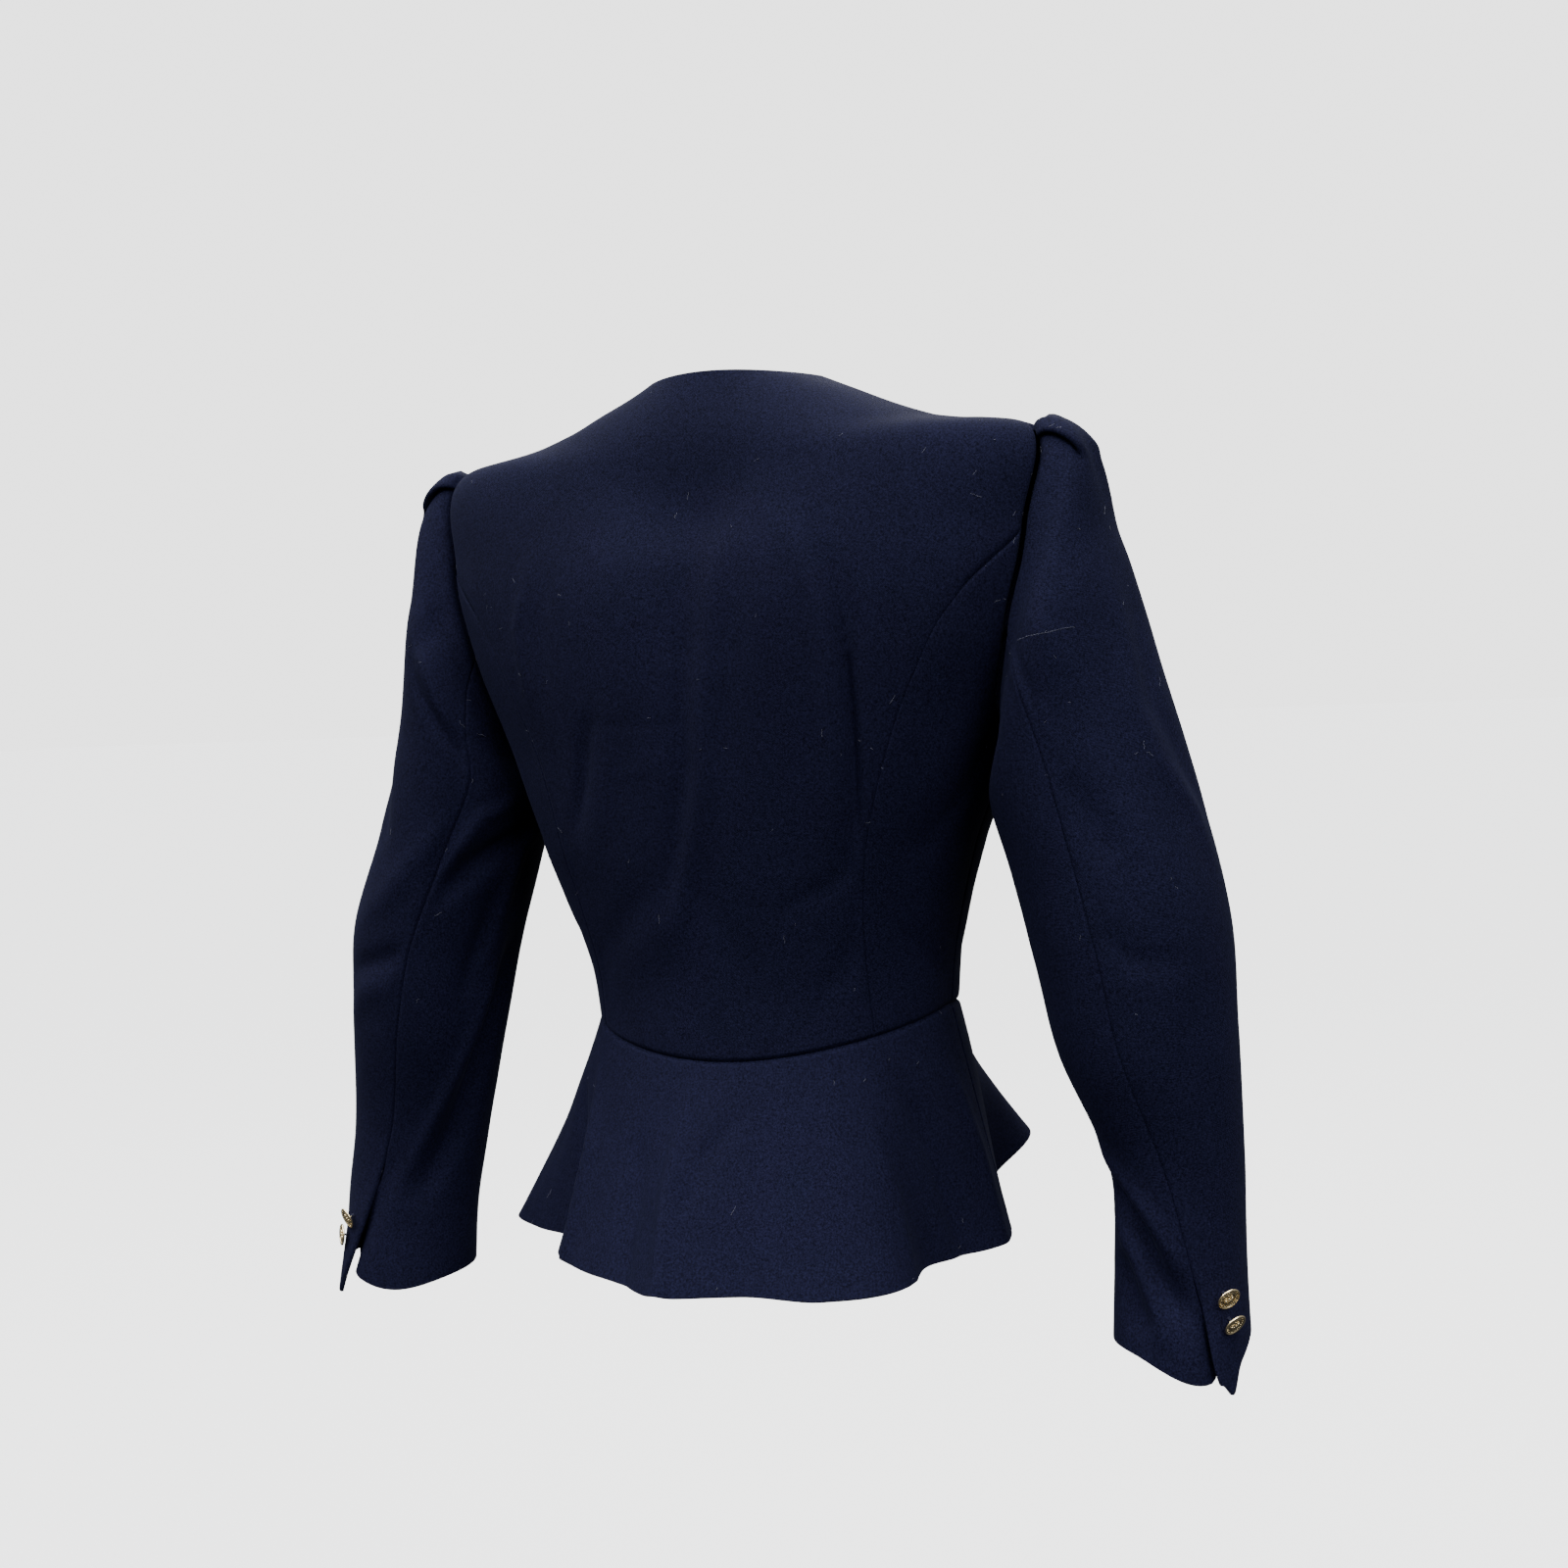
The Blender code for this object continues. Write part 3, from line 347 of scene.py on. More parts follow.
BACK_CORNER, NECK_FROM, NECK_TO = 9 / 13, 4 / 14, 10 / 14
CORNER_ROWS = [-0.014, -0.005, 0, 0.005]
BACK_WIDTH, BACK_HEIGHT, BACK_UNEVENNESS = 420.0, 430.0, 1.1
BACK_CREASES = [
    ("long fold by the right shoulder blade",
     [(-49.9, -112), (-50.7, -149), (-51.1, -181), (-51.9, -232), (-55.2, -297)], -5.4, 4.6),
    ("sharp bottom of that fold", [(-50.6, -150), (-51.2, -190), (-51.9, -232), (-54.6, -290)], -1.5, 1.8),
    ("its crest on the left", [(-43, -90), (-46, -140), (-46.8, -181), (-47.5, -232), (-50, -290)], 3.4, 7.5),
    ("broad hollow under the neck", [(-14, -60), (-7, -100), (-2, -140), (0, -178)], -2.2, 14),
    ("middle hollow", [(-2, -150), (1.2, -205), (2.4, -245), (6.8, -292), (14, -330)], -4.0, 7.5),
    ("crest beside it", [(-16, -95), (-11.8, -150), (-7.6, -205), (-6.0, -245), (0.6, -290), (15, -355)], 2.8, 11),
    ("hollow right of the crest", [(-25.5, -95), (-19, -155), (-15, -215), (-12, -260)], -2.2, 13),
    ("left hollow", [(37.5, -208), (40.8, -228), (43.4, -252), (48.5, -284)], -3.6, 6.5),
    ("crest inside it", [(30, -190), (33, -235), (38, -275), (44, -300)], 1.2, 9),
    ("left crest", [(57.2, -100), (58.8, -150), (57.6, -205)], 1.6, 5),
    ("hollow by the left crest", [(51.5, -110), (52.5, -150), (51, -200)], -1.5, 8),
    ("press mark", [(40, -212), (22, -214), (1, -213)], -0.35, 2.6),
    ("slanting crease", [(29, -247), (20, -243), (8.8, -235)], 0.35, 3.2),
    ("pull above the waist", [(14, -310), (33.4, -340), (55.3, -374)], -1.3, 11),
    ("crest of that pull", [(4, -315), (20, -345), (44, -385)], 0.9, 13),
    ("hollow above the right waist", [(-20, -385), (-5, -330), (4, -300)], -1.4, 14),
    ("small pull at the right waist", [(-60, -330), (-52, -365), (-40, -395)], -1.5, 9),
    ("drag from the right seam", [(-58, -300), (-46, -322), (-30, -334)], -1.2, 8),
    ("small drag at the left waist", [(30, -398), (40, -380), (52, -352)], 0.4, 8),
]


def armhole(turn):
    """Angle and station of the armhole's edge, by its turn from the shoulder seam over the back."""
    turns = column(ARMHOLE, "turn")
    return np.stack([around(turns, column(ARMHOLE, name), turn) for name in ("angle", "station")], -1)


def seam_at(points, share):
    station = points[0].station + share * (points[-1].station - points[0].station)
    return np.stack([through(column(points, "station"), column(points, "angle"), station), station], -1)


def between(a, b, share):
    return np.asarray(a, float) + np.asarray(share)[:, None] * (np.asarray(b, float) - np.asarray(a, float))


def patch(bottom, top, left, right, across, upward):
    """Fills the space between four edge lines with rows from bottom to top."""
    across, upward = across[None, :, None], upward[:, None, None]
    ruled = (1 - upward) * bottom[None] + upward * top[None] + (1 - across) * left[:, None] + across * right[:, None]
    low = (1 - across) * bottom[0] + across * bottom[-1]
    high = (1 - across) * top[0] + across * top[-1]
    return ruled - (1 - upward) * low - upward * high


def two_lines(share, corner, low, high):
    """An edge that follows one line up to a corner and another above it."""
    below, above = np.clip(share / corner, 0, 1), np.clip((share - corner) / (1 - corner), 0, 1)
    return np.where((share <= corner)[:, None], low(below), high(above))


def back_edge(share):
    return two_lines(
        share, BACK_CORNER, lambda way: seam_at(BACK_SEAM, way), lambda way: armhole(BACK_JOIN_TURN * (1 - way))
    )


def on_body(creases, side=1):
    return [
        Crease(name, [body(angle * side, station) for angle, station in path], depth, width)
        for name, path, depth, width in creases
    ]


def body_piece(domain, side, creases, sewn, seed, unevenness, drop=None):
    """Points of a panel over its places on the body, with its creases and pressed seams."""
    angle, station = domain[..., 0] * side, domain[..., 1]
    grid = body(angle, station)
    out = body_out(angle, station)
    lift = creased(grid, on_body(creases, side)) + drape(grid, unevenness, seed)
    away = runs(grid)
    lift = lift * ease(np.min(list(away.values()), axis=0) / FLAT_BESIDE_SEAM) - seams_pressed(grid, sewn, seed)
    if drop is not None:
        lift = lift - drop
    grid = grid + out * lift[..., None]
    return grid[:, ::-1] if side > 0 else grid


across = places([0, NECK_FROM, NECK_TO, 1], BACK_WIDTH)
upward = places([0, *[BACK_CORNER + step for step in CORNER_ROWS], 1], BACK_HEIGHT)
right_edge = back_edge(upward)
left_edge = right_edge * (-1.0, 1.0)
shoulder = np.interp(across, [0, NECK_FROM, NECK_TO, 1], [-1, 0, 0, 1])
top_angle = np.interp(across, [0, NECK_FROM, NECK_TO, 1], [-90, -90, 90, 90])
top_edge = np.stack([top_angle, NECK + np.abs(shoulder) * (TIP - NECK)], -1)
bottom_edge = between(left_edge[0], right_edge[0], across)
back_side = [(0, PLAIN_SEAM), (BACK_CORNER, ARMHOLE_SEAM)]
back_sewn = {
    "left": back_side, "right": back_side, "low": [(0, WAIST_SEAM)],
    "top": [(0, PLAIN_SEAM), (NECK_FROM, FREE_EDGE), (NECK_TO, PLAIN_SEAM)],
}
panel = patch(bottom_edge, top_edge, left_edge, right_edge, across, upward)
grid = body_piece(panel, 1, BACK_CREASES, back_sewn, 1.0, BACK_UNEVENNESS)
cloth_piece("back_panel", grid, -1)


# Side panels
# Two narrow curved pieces under each arm, from the waist seam to the armhole, sewn to each other
# at the side seam. They are pulled smooth and only fold a little below the armhole.

FRONT_SEAM = [
    SeamPoint(-415, 134), SeamPoint(-340, 138), SeamPoint(-270, 141),
    SeamPoint(-220, 138), SeamPoint(-175, 126), SeamPoint(-145, 103.2),
]
SIDE_SEAM_ANGLE, SEAM_TUCK, JOIN_TUCK = 92.0, 0.5, 1.5
SIDE_WIDTH, SIDE_HEIGHT, SIDE_UNEVENNESS = 80.0, 290.0, 0.9
SIDE_BACK_CREASES = [
    ("pull below the armhole", [(84, -225), (80, -262), (72, -300)], -2.6, 8),
    ("crest beside it", [(76, -215), (71, -250), (66, -290)], 0.9, 9),
    ("waist pull", [(88, -395), (76, -372), (66, -350)], -0.9, 8),
]
SIDE_FRONT_CREASES = [
    ("pull below the armhole", [(99, -232), (106, -268), (116, -300)], -2.4, 8),
    ("crest beside it", [(108, -215), (116, -250), (124, -280)], 0.9, 9),
    ("waist pull", [(96, -392), (108, -370), (120, -352)], -0.8, 8),
]


for side, suffix in ((1, "left"), (-1, "right")):
    across, upward = places([0, 1], SIDE_WIDTH), places([0, 1], SIDE_HEIGHT)
    sewn = {
        "left": [(0, PLAIN_SEAM)], "right": [(0, PLAIN_SEAM)], "low": [(0, WAIST_SEAM)], "top": [(0, ARMHOLE_SEAM)],
    }
    left_edge = seam_at(BACK_SEAM, upward) - (SEAM_TUCK, 0)
    top_edge = armhole(BACK_JOIN_TURN - JOIN_TUCK + across * (SIDE_JOIN_TURN - BACK_JOIN_TURN + JOIN_TUCK))
    left_edge[-1] = top_edge[0]
    right_edge = between((SIDE_SEAM_ANGLE, WAIST), top_edge[-1], upward)
    bottom_edge = between(left_edge[0], right_edge[0], across)
    panel = patch(bottom_edge, top_edge, left_edge, right_edge, across, upward)
    grid = body_piece(panel, side, SIDE_BACK_CREASES, sewn, 2.0 + side, SIDE_UNEVENNESS)
    cloth_piece("side_back_" + suffix, grid, -1)

    right_edge = seam_at(FRONT_SEAM, upward) + (SEAM_TUCK, 0)
    top_edge = armhole(SIDE_JOIN_TURN + across * (FRONT_JOIN_TURN - SIDE_JOIN_TURN + JOIN_TUCK))
    right_edge[-1] = top_edge[-1]
    left_edge = between((SIDE_SEAM_ANGLE, WAIST), top_edge[0], upward)
    bottom_edge = between(left_edge[0], right_edge[0], across)
    panel = patch(bottom_edge, top_edge, left_edge, right_edge, across, upward)
    grid = body_piece(panel, side, SIDE_FRONT_CREASES, sewn, 4.0 + side, SIDE_UNEVENNESS)
    cloth_piece("side_front_" + suffix, grid, -1)


# Fronts
# Two plain collarless fronts that end in a V neck. The right one laps over the left and is held
# by four buttons, and both are shaped over the bust by their curved front seams.

OVERLAP_ANGLE, UNDERLAP_DROP, UNDERLAP_START, UNDERLAP_EASE = 9.0, 2.0, 11.0, 10.0
V_NECK = [
    SeamPoint(-196, 189), SeamPoint(-150, 174), SeamPoint(-100, 158),
    SeamPoint(-50, 137), SeamPoint(-15, 112), SeamPoint(0, 90),
]
NECKLINE_CORNER, FRONT_CORNER = 8 / 14, 9 / 14
FRONT_WIDTH, FRONT_HEIGHT, FRONT_UNEVENNESS = 150.0, 420.0, 1.0
FRONT_CREASES = [
    ("pull from the bust to the armhole", [(137, -205), (126, -178), (114, -150)], -2.6, 8),
    ("crest over it", [(142, -190), (132, -160), (120, -132)], 1.7, 9),
    ("drag below the bust", [(150, -262), (155, -300), (160, -345)], -2.4, 9),
    ("crest beside the drag", [(141, -270), (146, -310), (152, -352)], 1.5, 9),
    ("shoulder hollow", [(118, -72), (121, -105), (126, -140)], -2.0, 12),
    ("soft fold by the neckline", [(138, -78), (145, -112), (156, -150)], 1.2, 9),
    ("pull to the second button", [(172, -268), (160, -262), (150, -250)], -1.3, 5),
    ("pull to the third button", [(172, -324), (160, -330), (148, -341)], -1.3, 6),
    ("waist pull", [(140, -396), (150, -384), (164, -378)], -1.6, 7),
]


def front_edge(share):
    return two_lines(
        share, FRONT_CORNER, lambda way: seam_at(FRONT_SEAM, way),
        lambda way: armhole(FRONT_JOIN_TURN + (360 - FRONT_JOIN_TURN) * way),
    )


def opening_edge(share):
    lap = 180 + OVERLAP_ANGLE
    return two_lines(
        share, NECKLINE_CORNER, lambda way: between((lap, WAIST), (lap, V_NECK[0].station), way),
        lambda way: seam_at(V_NECK, way),
    )


def underlap(angle):
    """How far the left front lies below the right one, by its angle."""
    return UNDERLAP_DROP * ease((angle - (180 - OVERLAP_ANGLE - UNDERLAP_START)) / UNDERLAP_EASE)


for side, suffix in ((1, "left"), (-1, "right")):
    across = places([0, 1], FRONT_WIDTH)
    upward = places([0, NECKLINE_CORNER, *[FRONT_CORNER + step for step in CORNER_ROWS], 1], FRONT_HEIGHT)
    left_edge, right_edge = front_edge(upward), opening_edge(upward)
    bottom_edge, top_edge = between(left_edge[0], right_edge[0], across), between((90, TIP), (90, NECK), across)
    panel = patch(bottom_edge, top_edge, left_edge, right_edge, across, upward)
    drop = underlap(panel[..., 0]) if side > 0 else None
    sewn = {
        "left": [(0, PLAIN_SEAM), (FRONT_CORNER, ARMHOLE_SEAM)], "low": [(0, WAIST_SEAM)], "top": [(0, PLAIN_SEAM)],
    }
    grid = body_piece(panel, side, FRONT_CREASES, sewn, 6.0 + side, FRONT_UNEVENNESS, drop)
    cloth_piece("front_" + suffix, grid, -1)


# Peplum
# A flared frill of the same suiting in three pieces, cut on a curve and sewn to the waist seam, so
# that it stands out in soft flutes. The fronts lap over each other below the last button.

HemPoint = namedtuple("HemPoint", "azimuth radius height")
HEM = [
    HemPoint(-180, 140, -500), HemPoint(-156, 148, -504), HemPoint(-132, 176, -514),
    HemPoint(-113, 136, -536), HemPoint(-100, 148, -548), HemPoint(-88, 160, -556),
    HemPoint(-72, 150, -558), HemPoint(-60, 151, -558), HemPoint(-49, 180, -558),
    HemPoint(-32, 183, -559), HemPoint(-17, 170, -558), HemPoint(-9, 173, -558),
    HemPoint(1, 180, -558), HemPoint(13, 165, -558), HemPoint(27, 163, -557),
    HemPoint(42, 161, -555), HemPoint(54, 147, -554), HemPoint(68, 171, -556),
    HemPoint(80, 196, -556), HemPoint(93, 176, -552), HemPoint(108, 146, -540),
    HemPoint(130, 168, -516), HemPoint(156, 147, -504), HemPoint(180, 140, -500),
]
PEPLUM_CENTRE = np.array([0.0, -11.0, 0.0])
FLUTE_START_POWER = 1.5
FLUTE_SMOOTHING = range(-40, 41, 10)
WAIST_PER_DEGREE, PEPLUM_DEPTH, PEPLUM_UNEVENNESS = 2.4, 150.0, 1.3
CREASE_PAST_EDGE, FLAT_BELOW_WAIST = 12, 2.5


def peplum(azimuth, fraction, waist_point):
    """Points of the frill below a point of the waist, from 0 at the waist seam to 1 at the hem."""
    azimuths, radii = column(HEM, "azimuth"), column(HEM, "radius")
    hem_height = around(azimuths, column(HEM, "height"), azimuth)
    near_by = [around(azimuths, radii, azimuth + step) for step in FLUTE_SMOOTHING]
    smooth = sum(near_by) / len(near_by)
    start = np.linalg.norm((waist_point - PEPLUM_CENTRE)[..., :2], axis=-1)
    flute = (around(azimuths, radii, azimuth) - smooth) * fraction ** FLUTE_START_POWER
    r = start + (smooth - start) * fraction + flute
    z = waist_point[..., 2] + (hem_height - waist_point[..., 2]) * fraction
    return np.stack([r * np.sin(np.radians(azimuth)), PEPLUM_CENTRE[1] + r * np.cos(np.radians(azimuth)), z], -1)


PEPLUM_CREASES = [
    ("crest at the left", [(58, 0.08), (50, 0.26), (41.3, 0.51), (37.1, 0.89), (36, 1.12)], 4.6, 6),
    ("hollow outside it", [(66, 0.25), (57, 0.50), (51, 0.80), (50, 1.12)], -4.4, 8),
    ("second crest", [(8, 0.12), (6.4, 0.30), (4.8, 0.57), (1.0, 0.95), (0, 1.12)], 5.0, 6),
    ("hollow left of the second crest", [(22, 0.35), (17.9, 0.54), (15.2, 0.80), (12, 1.12)], -4.4, 9),
    ("slanting hollow", [(-15, 0.16), (-12.5, 0.24), (-3.6, 0.41), (-2, 0.60), (-6, 0.90)], -3.0, 8),
    ("soft hollow right of the middle", [(-28, 0.45), (-30, 0.75), (-31, 1.12)], -1.0, 13),
    ("thin crest", [(-50, 0.35), (-51.8, 0.54), (-53.3, 0.66), (-52.8, 0.99), (-52.8, 1.12)], 1.7, 4.5),
    ("deep hollow at the right", [(-60, 0.10), (-64.1, 0.25), (-70.2, 0.58), (-73, 0.89), (-74, 1.12)], -5.6, 8.5),
    ("crest by the right side seam", [(-80, 0.14), (-83, 0.31), (-85, 0.60), (-85, 1.12)], 3.2, 6),
    ("left hollow by the side seam", [(80, 0.30), (77, 0.65), (74, 1.12)], -1.4, 11),
    ("right front hollow", [(-126, 0.30), (-127, 0.65), (-126, 1.12)], -3.6, 10),
    ("right front crest", [(-112, 0.30), (-108, 0.65), (-103, 1.12)], 2.4, 9),
    ("left front hollow", [(112, 0.30), (109, 0.65), (108, 1.12)], -2.6, 9),
    ("left front crest", [(128, 0.30), (131, 0.65), (132, 1.12)], 2.2, 10),
    ("right lap fold", [(-158, 0.35), (-157, 0.70), (-155, 1.12)], -1.2, 10),
    ("left lap fold", [(156, 0.35), (154, 0.70), (155, 1.12)], -1.2, 10),
]


def peplum_piece(node, first, last, seed, sewn, drop_side=0):
    angles = first + places([0, 1], abs(last - first) * WAIST_PER_DEGREE) * (last - first)
    fraction = places([0, 1], PEPLUM_DEPTH)[:, None]
    waist = body(angles, WAIST)
    azimuth = np.degrees(np.unwrap(np.arctan2(waist[:, 0], waist[:, 1] - PEPLUM_CENTRE[1])))
    grid = peplum(azimuth[None], fraction, waist[None])
    across = peplum(azimuth[None] + 0.5, fraction, waist[None]) - peplum(azimuth[None] - 0.5, fraction, waist[None])
    out = unit(np.cross(across, np.gradient(grid, axis=0)))
    out[0] = body_out(angles, WAIST)
    creases = []
    for name, path, depth, width in PEPLUM_CREASES:
        turns, down = np.array(path, float).T
        if azimuth.min() - CREASE_PAST_EDGE < turns.mean() < azimuth.max() + CREASE_PAST_EDGE:
            above = body(np.interp(turns, azimuth, angles), WAIST)
            creases.append(Crease(name, peplum(turns, down, above), depth, width))
    lift = (drape(grid, PEPLUM_UNEVENNESS, seed) + creased(grid, creases)) * ease(fraction * FLAT_BELOW_WAIST)
    away = runs(grid)
    beside = [away[side] for side in ("left", "right") if side in sewn]
    lift = lift * ease(np.min(beside, axis=0) / FLAT_BESIDE_SEAM)
    sink = seams_pressed(grid[::-1], sewn, seed)[::-1]
    if drop_side:
        sink = sink + underlap(angles * drop_side)[None]
    grid = grid + out * (lift - sink)[..., None]
    cloth_piece(node, grid[::-1, ::-1], -1)


waist, left, right = {"top": [(0, WAIST_SEAM)]}, {"left": [(0, PLAIN_SEAM)]}, {"right": [(0, PLAIN_SEAM)]}
lap = 180 + OVERLAP_ANGLE
peplum_piece("peplum_back", -SIDE_SEAM_ANGLE, SIDE_SEAM_ANGLE, 8.0, waist | left | right)
peplum_piece("peplum_front_left", SIDE_SEAM_ANGLE, lap, 9.0, waist | left, 1)
peplum_piece("peplum_front_right", -lap, -SIDE_SEAM_ANGLE, 10.0, waist | right)


# Sleeves
# Two-piece sleeves of the same suiting. The upper piece has a folded box pleat in its head, which
# lifts it off the shoulder, and both are curved at the elbow and vented at the cuff.

StartPoint = namedtuple("StartPoint", "turn out back up speed")
SLEEVE_START = [
    StartPoint(0, 1.0, 0.0, 0.08, 1.15), StartPoint(90, 0.55, 0.46, -0.64, 0.50),
    StartPoint(180, 0.45, 0.0, -0.90, 0.30), StartPoint(270, 0.72, -0.42, -0.56, 0.62),
    StartPoint(360, 1.0, 0.0, 0.08, 1.15),
]
Section = namedtuple("Section", "name along x y z tilt out_radius deep_radius back_seam")
LEFT_ARM = [
    Section("under the cap", 95, 212, 2, -180, 60, 70, 66, 126),
    Section("upper arm", 175, 217, 4, -238, 34, 57, 64, 124),
    Section("above the elbow", 245, 234, 6, -300, 18, 55, 62, 113),
    Section("elbow", 305, 256, 9, -360, 12, 58.5, 61, 107),
    Section("below the elbow", 370, 265, 12, -422, 8, 54, 55, 100),
    Section("forearm", 445, 278.5, 11, -500, 6, 49, 46, 95),
    Section("wrist", 495, 286, 16, -550, 5, 47, 45, 82),
    Section("cuff", 550, 286.5, 24, -603, 4, 45.5, 46, 52),
]
RIGHT_ARM = [
    Section("under the cap", 95, 214, 2, -180, 60, 73, 66, 105),
    Section("upper arm", 175, 222, 4, -238, 34, 65, 64, 93),
    Section("above the elbow", 245, 239, 6, -300, 18, 62, 62, 94),
    Section("elbow", 305, 253.5, 9, -360, 12, 61, 61, 94),
    Section("below the elbow", 370, 261.5, 12, -422, 8, 54.5, 55, 91),
    Section("forearm", 445, 276.4, 11, -500, 6, 39.5, 46, 79),
    Section("wrist", 495, 277.5, 16, -550, 5, 39.5, 45, 60),
    Section("cuff", 550, 279, 24, -607, 4, 41.5, 46, 34),
]
SLEEVE_LENGTH = 550.0
BACK_SEAM_TURN, INNER_SEAM_TURN = 120.0, 225.0
PleatRow = namedtuple("PleatRow", "along height folded")
PLEAT = [
    PleatRow(0, 4.2, 1.0), PleatRow(10, 5.4, 1.0), PleatRow(22, 5.8, 1.0), PleatRow(34, 5.2, 0.8),
    PleatRow(44, 3.6, 0.25), PleatRow(56, 2.2, 0.0), PleatRow(80, 0.8, 0.0), PleatRow(120, 0.0, 0.0),
]
PLEAT_HALF_WIDTH, PLEAT_UNDERFOLD, PLEAT_REACH, PLEAT_TOP_STEP = 13.0, 4.5, 22.0, 1.2
PLEAT_BACK_WIDENING, PLEAT_SHARE_OF_BACK = 4.0, 0.7
PLEAT_SLOPE = [3, 6, 9, 12, 15, 17, 20, 25]
PLEAT_SLOPE_HEIGHT = [1.0, 1.0, 0.88, 0.68, 0.4, 0.22, 0.06, 0.0]
PLEAT_SPREAD, PLEAT_SPREAD_FROM, PLEAT_SPREAD_OVER, PLEAT_DIP_LENGTH = 1.5, 100.0, 300.0, 9.0
TURN_PER_MM = 26.0 / 22.0
Cuff = namedtuple("Cuff", "vent_top hem_rise hem_turn hem_drop point point_at point_turn flap_lift swing gape")
LEFT_CUFF = Cuff(472, 9, 108, 10, 17, 0, 16, 6.0, 0, 6.0)
RIGHT_CUFF = Cuff(505, 11, 53, 20, 10.5, 11, 7.0, 5.0, -11, 7.0)
HEM_DROP_REACH, HEM_SLANT_FROM, FLAP_LIFT_TURN = 45.0, 400.0, 22.0
VENT_UNDERLAP_TURN, VENT_LAP_FROM, VENT_LAP_OVER, VENT_DROP_OVER = 22.0, 6.0, 20.0, 22.0
VENT_DROP_TURN, VENT_DROP_EASE = 24.0, 18.0
VENT_GAPE_TURN, LAP_HEM_RISE, LAP_RISE_TURN = 12.0, 14.0, 30.0
CAP_PUFF, CAP_PUFF_AT, CAP_PUFF_REACH = 1.5, 9.0, 7.0
FLAT_BELOW_ARMHOLE, FLATTEST_PLEAT, SLEEVE_UNEVENNESS = 30.0, 0.4, 1.2
UPPER_FRONT_WIDTH, UPPER_BACK_WIDTH, UNDER_WIDTH = 110.0, 90.0, 110.0
UPPER_CUTS = {"left": Cut(0.25, 0.6, 0.1167), "right": Cut(0.25, 0.6, 0.1129)}
UNDER_CUTS = {"left": Cut(0.15, 0.47, 0.0519), "right": Cut(0.15, 0.47, 0.0552)}
RIGHT_SLEEVE_CREASES = [
    ("crest down the upper arm", [(22, 105), (27, 154), (33, 182), (28, 217), (10, 246), (1, 281)], 2.6, 8),
    ("hollow outside it", [(5, 120), (12, 160), (16, 188), (5, 225), (-12, 250)], -2.4, 9),
    ("hollow below the shoulder", [(112, 40), (104, 95), (90, 150)], -3.0, 9),
    ("crest beside that hollow", [(86, 50), (78, 100), (66, 150)], 1.6, 10),
    ("elbow hollow", [(84, 200), (78, 232), (70, 258)], -3.0, 12),
    ("elbow crest", [(60, 225), (52, 262), (58, 300)], 2.0, 12),
    ("lower elbow hollow", [(92, 290), (74, 312), (46, 322)], -2.0, 9),
    ("crest above the dark fold", [(150, 422), (136, 435), (104, 461), (84, 483), (68, 507)], 4.4, 6),
    ("dark fold of the forearm", [(142, 444), (128, 455), (103, 481), (83, 506), (68, 524)], -10.0, 8.5),
    ("broad hollow below it", [(140, 486), (124, 508), (106, 532)], -7.0, 12),
    ("crest below the dark fold", [(150, 458), (144, 466), (119, 487), (104, 507), (94, 519), (88, 540)], 2.6, 5),
    ("forearm drag", [(40, 330), (48, 380), (40, 430)], -1.8, 12),
    ("inner elbow fold", [(262, 282), (285, 300), (310, 306)], -3.4, 7),
    ("second inner elbow fold", [(250, 312), (278, 330), (300, 334)], -2.6, 6),
    ("front of the upper arm", [(300, 60), (292, 120), (288, 180)], -2.2, 11),
    ("forearm front drag", [(285, 380), (292, 430), (300, 480)], -1.8, 9),
]
LEFT_SLEEVE_CREASES = [
    ("fold toward the armhole", [(66, 108), (78, 116), (100, 128), (118, 144), (126, 172)], -3.4, 5.5),
    ("crest above it", [(74, 96), (96, 106), (118, 124)], 2.0, 6),
    ("hollow down the cap", [(84, 20), (82, 60), (74, 100)], -1.8, 9),
    ("elbow crest", [(160, 172), (150, 186), (136, 200), (124, 230), (113, 258), (108, 280)], 3.8, 6),
    ("deep fold below it", [(182, 196), (165, 215), (148, 230), (132, 246), (118, 268)], -9.0, 8.5),
    ("crest across the elbow", [(190, 205), (172, 225), (168, 250), (166, 275), (163, 303), (157, 325)], 3.4, 4.5),
    ("hollow between the crests", [(154, 262), (156, 288), (152, 316), (148, 342)], -5.0, 8),
    ("long crest of the forearm", [(172, 285), (168, 336), (152, 388), (132, 430), (114, 470)], 3.6, 5),
    ("long fold inside it", [(186, 300), (183, 345), (167, 398), (149, 440), (128, 482)], -10.5, 9.5),
    ("outer elbow pull", [(50, 336), (72, 326), (88, 319), (106, 308)], -3.2, 8),
    ("crest above the pull", [(60, 300), (80, 275), (100, 240), (116, 210)], 2.4, 10),
    ("crest below the pull", [(46, 372), (70, 348), (100, 334)], 1.6, 9),
    ("outer upper pull", [(30, 205), (50, 230), (62, 250)], -2.0, 10),
    ("inner elbow fold", [(258, 276), (280, 292), (306, 300)], -3.2, 7),
    ("second inner elbow fold", [(255, 305), (276, 318), (300, 328)], -2.6, 6.5),
    ("front of the upper arm", [(302, 66), (294, 130), (286, 190)], -2.2, 11),
    ("forearm front drag", [(288, 372), (296, 420), (290, 470)], -1.8, 9),
]


